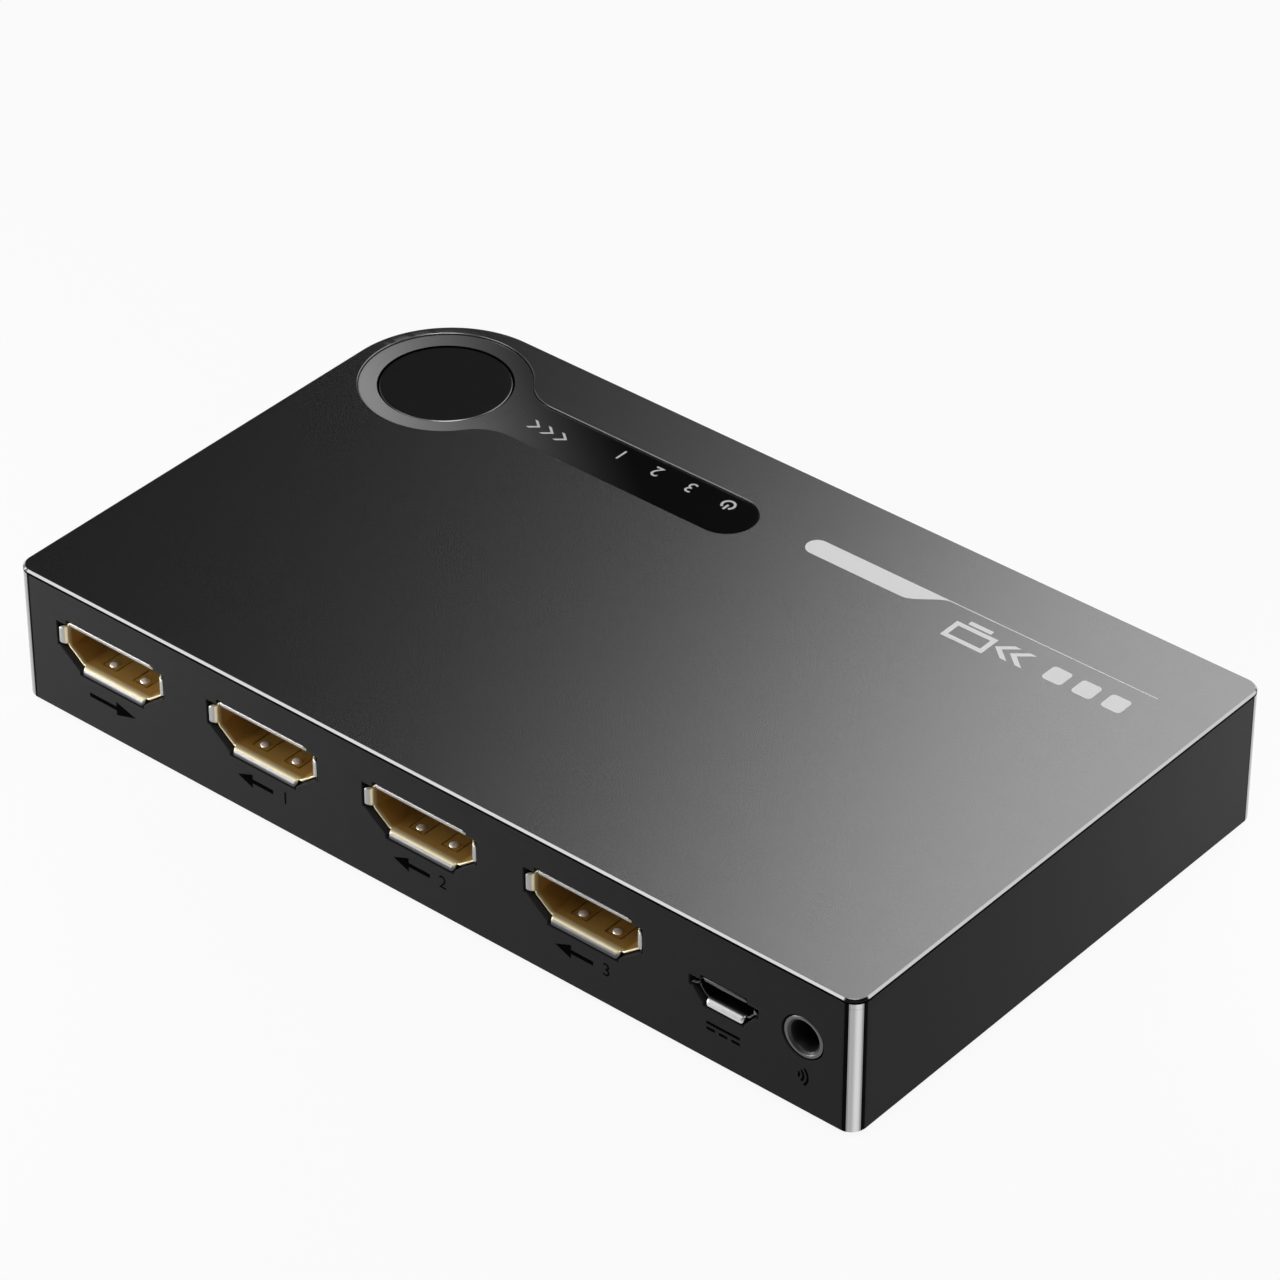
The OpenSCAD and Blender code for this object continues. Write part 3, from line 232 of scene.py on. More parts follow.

# Painted highlight on the corners; on the near corner it is brightest along one upright line, where X and Y
# add up to a fixed sum
BRIGHT_SUM = 24.3
corner_cut = metal("corner_cut", None, None, 0.24, UPRIGHT, 0.06)
across = corner_cut.along("X") + corner_cut.along("Y") - BRIGHT_SUM
off_line = corner_cut.ease(across.maths("ABSOLUTE", across), 0.1, 0.75)
sheen = off_line * 0.9 + corner_cut.speckle(0.06, LINE_DETAIL, UPRIGHT) * 0.1
corner_cut.feed("Base Color", corner_cut.tint(sheen, (0.70, 0.70, 0.705), (0.40, 0.40, 0.405)))
# Grey fringe at the sides of the painted highlight stripes
corner_side = metal("corner_side", (0.24, 0.24, 0.245), (0.34, 0.34, 0.345), 0.3, UPRIGHT, 0.06)
case_paints = (wall_black, corner_cut, corner_side, groove_black)

# Panel: a black glossy window with a pale painted reflection, satin on the ring, brightest towards the front
# and left and fading evenly into the black
panel_gloss = Finish("panel_gloss", IOR=1.45)
WINDOW_BLACK, SHEEN_GREY = (0.0015, 0.0015, 0.0016), (0.35, 0.35, 0.353)
FADE_START, FADE_PER_X, FADE_PER_Y = 0.212, 0.01176, 0.01569
LEAST_FADE, FADE_POWER, FULL_SHEEN = 0.072, 2.2, 0.32
fade = FADE_START - panel_gloss.along("X") * FADE_PER_X - panel_gloss.along("Y") * FADE_PER_Y
painted_sheen = fade.maths("POWER", fade.maths("MAXIMUM", fade, LEAST_FADE), FADE_POWER) / FULL_SHEEN
grain = panel_gloss.speckle(0.08)
panel_gloss.feed("Base Color", panel_gloss.tint(painted_sheen * (grain * 0.12 + 0.94), WINDOW_BLACK, SHEEN_GREY))
panel_gloss.feed("Roughness", panel_gloss.ease(fade, 0.05, 0.4, 0.08, 0.34) + grain * 0.04)
panel_gloss.relief(grain * panel_gloss.ease(fade, 0.1, 0.3), 0.0006)

button_black = moulding("button_black", (0.006, 0.006, 0.0062), (0.011, 0.011, 0.0114), 0.06, 0.5, IOR=1.25)
button_edge = metal("button_edge", (0.20, 0.20, 0.203), (0.28, 0.28, 0.284), 0.3, (1.0, 1.0, 0.2))
print_white = moulding("print_white", (0.82, 0.82, 0.82), (0.90, 0.90, 0.90), 0.12, 0.5, 0.001)
print_grey = moulding("print_grey", (0.52, 0.52, 0.53), (0.64, 0.64, 0.65), 0.12, 0.5, 0.001)
print_black = moulding("print_black", (0.0006, 0.0006, 0.0006), (0.0014, 0.0014, 0.0014), 0.12, 0.45,
                       IOR=1.03)

# Video sockets: gold inside, a pale painted highlight along the rim, lips silvery as a painted reflection,
# the lower lip darker with painted shade at its tip; each pair is where one shade passes into the next
LOWER_LIP_Y, LIP_TO_RIM_Y, RIM_TO_GOLD_Y = (-34.88, -34.6), (-34.74, -34.56), (-34.1, -33.7)
LOWER_LIP_Z = (7.9, 8.3)
socket_gold = Finish("socket_gold", Metallic=0.6)
depth_in = socket_gold.along("Y")
drawn = socket_gold.speckle(0.06, LINE_DETAIL, (1.0, 0.08, 1.0))
gold = socket_gold.tint(drawn, (0.53, 0.30, 0.065), (0.68, 0.42, 0.12))
# Pale painted highlight along the rim's fold
rim_painted_highlight = socket_gold.tint(drawn, (0.80, 0.70, 0.42), (0.90, 0.80, 0.54))
lower_in = socket_gold.ease(depth_in, *LOWER_LIP_Y)
# The lips' silvery colour is a painted reflection; the lower lip's is darker, down to painted shade at its
# tip
lower_lip_painted_shade = socket_gold.tint(lower_in, (0.06, 0.06, 0.064), (0.32, 0.316, 0.31))
above_lower = socket_gold.ease(socket_gold.along("Z"), *LOWER_LIP_Z)
lip = socket_gold.tint(above_lower, lower_lip_painted_shade, (0.40, 0.395, 0.39))
inward = socket_gold.tint(socket_gold.ease(depth_in, *RIM_TO_GOLD_Y), rim_painted_highlight, gold)
socket_gold.feed("Base Color", socket_gold.tint(socket_gold.ease(depth_in, *LIP_TO_RIM_Y), lip, inward))
socket_gold.feed("Roughness", drawn * 0.1 + 0.27)
socket_gold.relief(drawn, 0.0008)

# The spring fingers' dimples are near white as a painted highlight
dimple_bright = metal("dimple_bright", (0.94, 0.93, 0.90), (0.98, 0.97, 0.95), 0.36, Metallic=0.5)
power_steel = metal("power_steel", (0.56, 0.56, 0.57), (0.70, 0.70, 0.71), 0.3, INWARD)
# A dark copy of the power socket's steel, painted shade
power_dark = metal("power_dark", (0.06, 0.06, 0.062), (0.11, 0.11, 0.113), 0.34, INWARD)

# Everything else, by the record's slots
finishes = {"case_black": wall_black, "cover_gunmetal": lid_satin}
for finish in (
    panel_gloss,
    button_black,
    moulding("moulded_black", (0.008, 0.008, 0.008), (0.016, 0.016, 0.016), 0.05, 0.45),
    moulding("foot_rubber", (0.012, 0.012, 0.012), (0.022, 0.022, 0.022), 0.12, 0.8, 0.01),
    metal("plated_steel", (0.58, 0.58, 0.59), (0.72, 0.72, 0.73), 0.3, (1.0, 0.15, 1.0)),
    metal("spring_steel", (0.52, 0.52, 0.53), (0.66, 0.66, 0.67), 0.25, (0.15, 1.0, 1.0)),
    metal("gold_plate", (0.72, 0.48, 0.16), (0.86, 0.62, 0.27), 0.26, (1.0, 0.15, 1.0)),
    metal("collar_nickel", (0.085, 0.085, 0.09), (0.15, 0.15, 0.155), 0.3),
    moulding("chip_black", (0.012, 0.012, 0.012), (0.022, 0.022, 0.022), 0.05, 0.55, 0.004),
    moulding("receiver_dark", (0.018, 0.008, 0.016), (0.03, 0.014, 0.028), 0.3, 0.16, 0.0004),
    moulding("lamp_clear", (0.72, 0.74, 0.62), (0.82, 0.84, 0.74), 0.2, 0.2, 0.0005),
    moulding("guide_clear", (0.7, 0.73, 0.75), (0.82, 0.85, 0.87), 0.5, 0.14, 0.0004,
             Transmission_Weight=0.75, IOR=1.49),
    metal("can_aluminium", (0.66, 0.66, 0.68), (0.8, 0.8, 0.82), 0.32, (1.0, 1.0, 0.1)),
    moulding("capacitor_ceramic", (0.42, 0.29, 0.17), (0.54, 0.40, 0.26), 0.08, 0.42),
    moulding("resistor_black", (0.02, 0.02, 0.023), (0.035, 0.035, 0.04), 0.06, 0.25, 0.001),
):
    finishes[finish.name] = finish

# Board: green mask over copper runs that follow a fine grid
board_green = Finish("board_green", IOR=1.5)
weave = board_green.node("ShaderNodeTexChecker", {}, Vector=board_green.spot(), Scale=1800.0, out="Fac")
runs = board_green.speckle(1.6, 1.0, (0.25, 1.0, 1.0))
copper = board_green.ease(runs, 0.50, 0.56)
board_green.feed("Base Color", board_green.tint(copper, (0.008, 0.055, 0.024), (0.018, 0.11, 0.05)))
board_green.feed("Roughness", weave * 0.06 + 0.24)
board_green.relief(copper + weave * 0.2, 0.02)
finishes["board_green"] = board_green


# ---------------------------------------------------------------- outlines

def arc(x, y, radius, start, end, steps):
    """Points on an arc, angles in degrees, both ends included."""
    angles = [radians(start + (end - start) * k / steps) for k in range(steps + 1)]
    return [(x + radius * cos(a), y + radius * sin(a)) for a in angles]


def circle(x, y, radius, steps=48):
    return arc(x, y, radius, 0, 360, steps)[:-1]


# Least radius of a corner, so that an inset outline keeps all its points
LEAST_R = 0.15


def case_outline(inset=0.0):
    """The case from above, with the same number of points at any inset."""
    points = []
    for sx, sy, corner, start in ((1, -1, SMALL_R, -90), (1, 1, SMALL_R, 0), (-1, 1, LARGE_R, 90),
                                  (-1, -1, SMALL_R, 180)):
        radius = max(corner - inset, LEAST_R)
        reach = inset + radius
        points += arc(sx * (HALF_W - reach), sy * (HALF_D - reach), radius, start, start + 90,
                      LARGE_STEPS if corner == LARGE_R else SMALL_STEPS)
    return points


# Paints of the case, and the angles from a corner's middle where its painted highlight stripe and its bands
# of painted shade end
PLAIN, HIGHLIGHT_STRIPE, HIGHLIGHT_FRINGE, PAINTED_SHADE, SATIN, EDGE = range(6)
STEP_ANGLE = 90 / SMALL_STEPS
CORNERS = ((0, 23, 36), (SMALL_STEPS + 1, 40, 43), (2 * SMALL_STEPS + LARGE_STEPS + 3, 36, 43))


def wall_paint(k):
    """Each small corner has a painted highlight stripe between bands of painted shade."""
    for start, stripe, dark in CORNERS:
        if start <= k < start + SMALL_STEPS:
            turn = abs((k - start + 0.5) * STEP_ANGLE - 45)
            bands = ((stripe - STEP_ANGLE, HIGHLIGHT_STRIPE), (stripe, HIGHLIGHT_FRINGE), (dark, PAINTED_SHADE))
            return next((paint for end, paint in bands if turn < end), PLAIN)
    return PLAIN


def keyhole_outline(grow=0.0):
    """The panel from above: a ring round the button and a strip with a round end."""
    ring, half, neck = RING_R + grow, STRIP_HALF + grow, NECK_R - grow
    neck_y = half + neck
    neck_x = sqrt((ring + neck) ** 2 - neck_y ** 2)
    meet = atan2(neck_y, neck_x) * 180 / pi
    points = arc(0, 0, ring, meet, 360 - meet, 96)
    points += arc(neck_x, -neck_y, neck, 180 - meet, 90, 12)[1:]
    points += arc(STRIP_END, 0, half, -90, 90, 32)
    points += arc(neck_x, neck_y, neck, -90, meet - 180, 12)[:-1]
    return [(BUTTON_X + x, BUTTON_Y + y) for x, y in points]


def rounded(corners, radius, steps=6):
    """A closed outline with its corners rounded."""
    points = []
    for k, here in enumerate(corners):
        here = Vector(here)
        to_last = (Vector(corners[k - 1]) - here).normalized()
        to_next = (Vector(corners[(k + 1) % len(corners)]) - here).normalized()
        half = to_last.angle(to_next) / 2
        back = radius / (sin(half) / cos(half))
        centre = here + (to_last + to_next).normalized() * (radius / sin(half))
        first, last = here + to_last * back - centre, here + to_next * back - centre
        turn = atan2(first.cross(last), first.dot(last))
        for s in range(steps + 1):
            a = turn * s / steps
            points.append((centre.x + first.x * cos(a) - first.y * sin(a),
                           centre.y + first.x * sin(a) + first.y * cos(a)))
    return points


def mirrored(right):
    """A closed outline from its right half, listed from below upwards."""
    return [(-u, v) for u, v in reversed(right)] + right


def block(x0, y0, x1, y1, radius=0.0):
    corners = [(x0, y0), (x1, y0), (x1, y1), (x0, y1)]
    return rounded(corners, radius, 5) if radius else corners


def mouth_outline(width, height, side, floor_width, grow, radius):
    """A socket's opening, wide above and narrow below, grown evenly outwards."""
    half, low, knee = width / 2, -height / 2, height / 2 - side
    slope = Vector((half - floor_width / 2, knee - low))
    knee -= grow * (slope.length - slope.y) / slope.x
    foot = floor_width / 2 + grow * (slope.length - slope.x) / slope.y
    side_x, top, low = half + grow, height / 2 + grow, low - grow
    return rounded(mirrored([(foot, low), (side_x, knee), (side_x, top)]), radius)


def window_outline(width, height, side, floor_width, reach, grow):
    """A window snug round a socket's shell, with a notch for each lip."""
    play, top_short, low_short, corner = 0.4, 0.45, 0.05, 0.12
    half, top, knee, snug = width / 2, height / 2, height / 2 - side, play + grow
    slope = Vector((half - floor_width / 2, knee + top)).normalized()
    far, lip_top, lip_low = reach + grow, half - top_short + grow, floor_width / 2 - low_short + grow
    lip_foot = knee + low_short - grow

    def slant(v):
        """Where the slanted side passes a height."""
        return half + snug / slope.y + (v - knee) * slope.x / slope.y

    low = knee + (lip_low - half - snug / slope.y) * slope.y / slope.x
    right = [(lip_low, -top - far), (lip_low, low), (slant(lip_foot), lip_foot), (half + far, lip_foot),
             (half + far, top + snug), (lip_top, top + snug), (lip_top, top + far)]
    return rounded(mirrored(right), corner + grow)


# ---------------------------------------------------------------- mesh work

# Points nearer than this are one point, and edges shorter than this are taken out, in millimetres
WELD, SLIVER = 0.0005, 0.0002


class Shape:
    """A mesh in millimetres, put together from loops of points."""

    def __init__(self):
        self.mesh = bmesh.new()

    def loop(self, points):
        return [self.mesh.verts.new(p) for p in points]

    def level(self, outline, z):
        return self.loop([(x, y, z) for x, y in outline])

    def upright(self, outline, y):
        """A loop in a plane across Y, from an outline in X and Z."""
        return self.loop([(x, y, z) for x, z in outline])

    def face(self, corners, paint=0):
        made = self.mesh.faces.new(corners)
        made.material_index = paint

    def band(self, first, second, paint=0, skip=()):
        """Faces between two loops, or between a loop and a point."""
        count = max(len(first), len(second))
        if count == 1:
            return
        for k in range(count):
            if k in skip:
                continue
            n = (k + 1) % count
            shade = paint(k) if callable(paint) else paint
            if len(first) == 1:
                self.face((first[0], second[n], second[k]), shade)
            elif len(second) == 1:
                self.face((first[k], first[n], second[0]), shade)
            else:
                self.face((first[k], first[n], second[n], second[k]), shade)

    def skin(self, loops, paint=0):
        for first, second in zip(loops, loops[1:]):
            self.band(first, second, paint)
        return loops

    def fill(self, *loops, paint=0):
        """A flat face inside the first loop, with the other loops as holes."""
        corners = [v for loop in loops for v in loop]
        for a, b, c in tessellate_polygon([[v.co for v in loop] for loop in loops]):
            self.face((corners[a], corners[b], corners[c]), paint)

    def turned(self, profile, x, y, along="Z", steps=64, paint=0, closed=False):
        """A turned form from radii and heights; a closed profile makes a ring."""
        loops = []
        for radius, height in profile:
            ring = [(x, y)] if radius < 1e-6 else circle(x, y, radius, steps)
            loops.append(self.level(ring, height) if along == "Z" else self.upright(ring, height))
        if closed:
            loops.append(loops[0])
        return self.skin(loops, paint)

    def slab(self, outline, place, thickness, paint=0):
        """A flat outline with a thickness, put in its place by a matrix."""
        low = self.loop([place @ Vector((u, v, 0.0)) for u, v in outline])
        high = self.loop([place @ Vector((u, v, thickness)) for u, v in outline])
        self.band(low, high, paint)
        self.fill(low, paint=paint)
        self.fill(high, paint=paint)

    def take(self, mesh, place):
        """Adds a ready mesh in millimetres."""
        mesh.transform(place)
        self.mesh.from_mesh(mesh)

    def to_mesh(self, name, crisp=42):
        """The finished mesh in metres, with crisp lines from an angle on, in degrees."""
        bmesh.ops.remove_doubles(self.mesh, verts=self.mesh.verts, dist=WELD)
        bmesh.ops.dissolve_degenerate(self.mesh, edges=self.mesh.edges, dist=SLIVER)
        bmesh.ops.recalc_face_normals(self.mesh, faces=self.mesh.faces)
        bmesh.ops.scale(self.mesh, vec=(MM, MM, MM), verts=self.mesh.verts)
        made = bpy.data.meshes.new(name)
        self.mesh.to_mesh(made)
        self.mesh.free()
        made.shade_smooth()
        made.set_sharp_from_angle(angle=radians(crisp))
        return made


def put(name, mesh, body, slot, paints, *stands_for):
    """Makes a finished piece of a mesh that is already in its place."""
    piece = bpy.data.objects.new(name, mesh)
    scene.collection.objects.link(piece)
    for paint in paints:
        mesh.materials.append(paint.material)
    even = piece.modifiers.new("even_shading", "WEIGHTED_NORMAL")
    even.keep_sharp = True
    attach(piece, body)
    if stands_for:
        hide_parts(*stands_for)
    return piece


def plain_mesh(thing):
    """The evaluated mesh of an object as a mesh of its own."""
    bpy.context.view_layer.update()
    made = bpy.data.meshes.new_from_object(thing.evaluated_get(bpy.context.evaluated_depsgraph_get()))
    if not len(made.polygons):
        raise RuntimeError(thing.name + " came out empty")
    return made


def loose(name, mesh):
    """A helper object that is taken away once it has been used."""
    thing = bpy.data.objects.new(name, mesh)
    scene.collection.objects.link(thing)
    return thing


def carved(mesh, cutter):
    """A mesh with another cut out of it."""
    body, tool = loose("carved_body", mesh), loose("carving_tool", cutter)
    cut = body.modifiers.new("cut", "BOOLEAN")
    cut.operation, cut.solver, cut.object = "DIFFERENCE", "EXACT", tool
    made = plain_mesh(body)
    for thing in (body, tool):
        bpy.data.objects.remove(thing)
    return made


# ---------------------------------------------------------------- repeats

class Tree:
    """A Geometry Nodes tree with named inputs."""

    def __init__(self, name, **inputs):
        self.tree = bpy.data.node_groups.new(name, "GeometryNodeTree")
        self.tree.interface.new_socket("Geometry", in_out="INPUT", socket_type="NodeSocketGeometry")
        for label, kind in inputs.items():
            self.tree.interface.new_socket(label, in_out="INPUT", socket_type="NodeSocket" + kind)
        self.tree.interface.new_socket("Geometry", in_out="OUTPUT", socket_type="NodeSocketGeometry")
        self.entry = self.tree.nodes.new("NodeGroupInput")
        self.exit = self.tree.nodes.new("NodeGroupOutput")

    def given(self, label):
        return self.entry.outputs[label]

    def node(self, kind, settings, out=0, **named):
        made = self.tree.nodes.new(kind)
        for key, value in settings.items():
            setattr(made, key, value)
        for key, term in named.items():
            socket = next(s for s in made.inputs if s.identifier.replace(" ", "_") == key)
            if isinstance(term, bpy.types.NodeSocket):
                self.tree.links.new(term, socket)
            else:
                socket.default_value = term
        return made.outputs[out]

    def end(self, instances):
        """Makes the copies real, gives them their finish and hands them out."""
        real = self.node("GeometryNodeRealizeInstances", {}, Geometry=instances)
        done = self.node("GeometryNodeSetMaterial", {}, Geometry=real, Material=self.given("Finish"))
        self.tree.links.new(done, self.exit.inputs[0])
        return self

    def grow(self, name, mesh, **values):
        """Runs the tree on a mesh and returns the result as a plain mesh."""
        thing = loose(name, mesh)
        run = thing.modifiers.new("repeat", "NODES")
        run.node_group = self.tree
        for item in self.tree.interface.items_tree:
            if item.in_out == "INPUT" and item.name in values:
                run[item.identifier] = values[item.name]
        made = plain_mesh(thing)
        bpy.data.objects.remove(thing)
        return made


# Copies of one shape in a straight row
row = Tree("row_of_copies", Shape="Object", Count="Int", First="Vector", Step="Vector", Finish="Material")
row_line = row.node("GeometryNodeMeshLine", {"mode": "OFFSET"}, Count=row.given("Count"),
                    Start_Location=row.given("First"), Offset=row.given("Step"))
row_shape = row.node("GeometryNodeObjectInfo", {}, out="Geometry", Object=row.given("Shape"))
row.end(row.node("GeometryNodeInstanceOnPoints", {}, Points=row_line, Instance=row_shape))

# Copies of one shape on marked spots
spots = Tree("copies_on_spots", Shape="Object", Turn="Float", Finish="Material")
spots_shape = spots.node("GeometryNodeObjectInfo", {}, out="Geometry", Object=spots.given("Shape"))
spots_turn = spots.node("ShaderNodeCombineXYZ", {}, Z=spots.given("Turn"))
spots.end(spots.node("GeometryNodeInstanceOnPoints", {}, Points=spots.given("Geometry"), Instance=spots_shape,
                     Rotation=spots_turn))


def copies(tree, form_mesh, start, finish, **values):
    """Copies of a form by one of the trees; the form itself is taken away."""
    form = loose("form", form_mesh)
    made = tree.grow("copies", start, Shape=form, Finish=finish.material, **values)
    bpy.data.objects.remove(form)
    return made


def socket_row(form_mesh, finish):
    """A copy of a form in each video socket."""
    step = (SOCKETS_X[1] - SOCKETS_X[0]) * MM
    return copies(row, form_mesh, bpy.data.meshes.new("row"), finish, Count=len(SOCKETS_X),
                  First=(SOCKETS_X[0] * MM, 0.0, SOCKET_Z * MM), Step=(step, 0.0, 0.0))


def on_spots(form_mesh, places, finish, turn=0.0):
    """A copy of a form on each place under the tray."""
    marks = bpy.data.meshes.new("marks")
    marks.from_pydata([(x * MM, y * MM, 0.0) for x, y in places], [], [])
    return copies(spots, form_mesh, marks, finish, Turn=turn)


# ---------------------------------------------------------------- lid

# The case is shaded flatter than the other pieces
CRISP_CASE = 15

# Loops of the lid's edge from its rim upwards, by inset and height
lid = Shape()
edge = [lid.level(case_outline(inset), z) for inset, z in (
    (INK, RIM_Z), (INK, GROOVE_Z), (GROOVE_D, GROOVE_Z), (GROOVE_D, GROOVE_TOP_Z), (0.04, GROOVE_TOP_Z),
    (0.0, 17.68), (0.0, 17.72), (0.015, 17.75), (0.235, 17.97), (0.27, LID_Z))]
# The groove under the lid's edge is painted dark as its shade
for k, paint in enumerate((wall_paint, PAINTED_SHADE, PAINTED_SHADE, PAINTED_SHADE, PLAIN, PLAIN, PLAIN, EDGE, SATIN)):
    lid.band(edge[k], edge[k + 1], paint)

# Rounded rim and wall of the panel's pocket
rim = [lid.level(keyhole_outline(grow), z) for grow, z in (
    (0.16, LID_Z), (0.14, 17.98), (0.10, 17.94), (0.10, POCKET_Z))]
lid.skin(rim, SATIN)
lid.fill(edge[-1], rim[0], paint=SATIN)

# Floor of the panel's pocket, the holes through it and the underside
holes = [(BUTTON_X, BUTTON_Y, HOLE_R)] + [(x, LAMP_Y, LAMP_HOLE_R) for x in LAMPS_X]
holes.append((RECEIVER_X, BUTTON_Y, RECEIVER_HOLE_R))
upper = [lid.level(circle(x, y, r), POCKET_Z) for x, y, r in holes]
lower = [lid.level(circle(x, y, r), CEILING_Z) for x, y, r in holes]
for a, b in zip(upper, lower):
    lid.band(a, b)
lid.fill(rim[-1], *upper)
seat, sill = (lid.level(case_outline(WALL + 0.15), z) for z in (RIM_Z, CEILING_Z))
lid.skin([edge[0], seat, sill])
lid.fill(sill, *lower)

# Screw bosses and the button's guide, rooted a little way in the ceiling
ROOT_Z = 15.7
boss = ((BOSS_BORE_R, BOARD_Z), (POST_R, BOARD_Z), (POST_R, ROOT_Z), (BOSS_BORE_R, ROOT_Z))
for x, y in SCREWS:
    lid.turned(boss, x, y, steps=POST_STEPS, closed=True)
guide = ((8.95, 13.85), (9.0, 13.8), (9.55, 13.8), (9.6, 13.85), (9.6, ROOT_Z), (8.95, ROOT_Z))
lid.turned(guide, BUTTON_X, BUTTON_Y, steps=96, closed=True)
put("lid", lid.to_mesh("lid", CRISP_CASE), "case", "cover_gunmetal", (*case_paints, lid_satin, cut_edge),
    "top_cover")


# ---------------------------------------------------------------- tray

# Loops of the tray's wall, up the outside and down the inside; the front side is left open for the ports
tray = Shape()
FRONT = len(case_outline()) - 1
wall = [tray.level(case_outline(inset), z) for inset, z in (
    (0.33, TRAY_Z), (0.27, 0.515), (0.045, 0.755), (INK, 0.83), (INK, RIM_Z - 0.02), (INK + 0.02, RIM_Z),
    (WALL, RIM_Z), (WALL, FLOOR_Z))]
tray.skin(wall[:4], wall_paint)
tray.band(wall[3], wall[4], wall_paint, skip=(FRONT,))
tray.band(wall[4], wall[5], wall_paint)
tray.band(wall[5], wall[6])
tray.band(wall[6], wall[7], skip=(FRONT,))


def port_outlines(grow):
    """The five socket windows and the jack's hole, seen from the front."""
    sockets = [(x, SOCKET_Z, VIDEO_MOUTH, VIDEO_REACH) for x in SOCKETS_X]
    sockets.append((POWER_X, POWER_Z, POWER_MOUTH, POWER_REACH))
    made = [[(x + u, z + v) for u, v in window_outline(*mouth, reach, grow)]
            for x, z, mouth, reach in sockets]
    return made + [circle(JACK_X, JACK_Z, JACK_HOLE_R + grow, 56)]


# Port windows through the front wall, their outer edge a little rounded
face_y = FRONT_Y + INK
ports = [[tray.upright(outline, y) for outline in port_outlines(grow)] for grow, y in (
    (0.10, face_y), (0.03, face_y + 0.03), (0.0, face_y + 0.10), (0.0, FRONT_Y + WALL))]
for outer, inner in zip(ports, ports[1:]):
    for a, b in zip(outer, inner):
        tray.band(a, b)
n = (FRONT + 1) % len(wall[0])
tray.fill([wall[3][FRONT], wall[3][n], wall[4][n], wall[4][FRONT]], *ports[0])
# The inside of the front wall is painted dark as shade seen through the windows
tray.fill([wall[6][FRONT], wall[6][n], wall[7][n], wall[7][FRONT]], *ports[-1], paint=PAINTED_SHADE)
tray.fill(wall[7])

# Underside: recesses for the feet and the screw heads, by place, radius and height
recess = [(x, y, 4.3, 1.1) for x, y in FEET] + [(x, y, 2.6, 2.0) for x, y in SCREWS]
mouths = [tray.level(circle(x, y, r + 0.1), TRAY_Z) for x, y, r, z in recess]
for ring, (x, y, r, z) in zip(mouths, recess):
    loops = [ring] + [tray.level(circle(x, y, r), h) for h in (TRAY_Z + 0.1, z)]
    tray.skin(loops)
    tray.fill(loops[-1])
tray.fill(wall[0], *mouths)
post = ((POST_BORE_R, FLOOR_Z - 0.1), (POST_R, FLOOR_Z - 0.1), (POST_R, 5.95), (2.75, BOARD_UNDER_Z),
        (POST_BORE_R, BOARD_UNDER_Z))
for x, y in SCREWS:
    tray.turned(post, x, y, steps=POST_STEPS, closed=True)
put("tray", tray.to_mesh("tray", CRISP_CASE), "case", "case_black", case_paints, "base_tray")


# ---------------------------------------------------------------- panel and button

panel = Shape()
brim = [panel.level(keyhole_outline(grow), z) for grow, z in (
    (0.0, POCKET_Z), (0.0, 17.75), (-0.02, 17.785), (-0.06, PANEL_Z))]
panel.skin(brim)
dish_line = ((9.93, PANEL_Z), (9.86, 17.797), (9.7, 17.784), (9.35, 17.757), (8.95, 17.733), (8.5, 17.713),
             (8.15, 17.703), (7.96, 17.70))
bore_line = (dish_line[-1], (7.92, 17.685), (HOLE_R, 17.65), (HOLE_R, POCKET_Z))
dish = panel.turned(dish_line, BUTTON_X, BUTTON_Y, steps=BUTTON_STEPS)
# The bore round the button is painted dark as the shade in its gap
bore = panel.turned(bore_line, BUTTON_X, BUTTON_Y, steps=BUTTON_STEPS, paint=1)
panel.fill(brim[-1], dish[0])
panel.fill(brim[0], bore[-1])
put("indicator_plate", panel.to_mesh("indicator_plate"), "case", "panel_gloss", (panel_gloss, groove_black),
    "indicator_panel")

# The button's face, the bright band round it, and its skirt, flange and stem
button = Shape()
face_line = ((0, 17.62), (2.5, 17.622), (5.0, 17.63), (6.6, 17.642), (7.35, 17.65), (7.52, 17.645),
             (7.6, 17.62))
band_line = (face_line[-1], (7.72, 17.535))
stem_line = (band_line[-1], (7.75, 17.45), (7.75, 15.6), (7.8, 15.55), (8.7, 15.55), (8.75, 15.5),
             (8.75, 14.8), (8.7, 14.75), (6.6, 14.75), (6.55, 14.8), (6.55, 16.15), (6.45, 16.25),
             (1.6, 16.25), (1.5, 16.15), (1.5, 12.75), (1.4, 12.65), (0, 12.65))
for line, paint in ((face_line, 0), (band_line, 1), (stem_line, 0)):
    button.turned(line, BUTTON_X, BUTTON_Y, steps=BUTTON_STEPS, paint=paint)
put("push_button", button.to_mesh("push_button"), "button", "button_black", (button_black, button_edge),
    "select_button")


# ---------------------------------------------------------------- sockets

# How far a lip's sheet and a shell's rounded edge run back from the fold
LIP_ROOT = 0.12


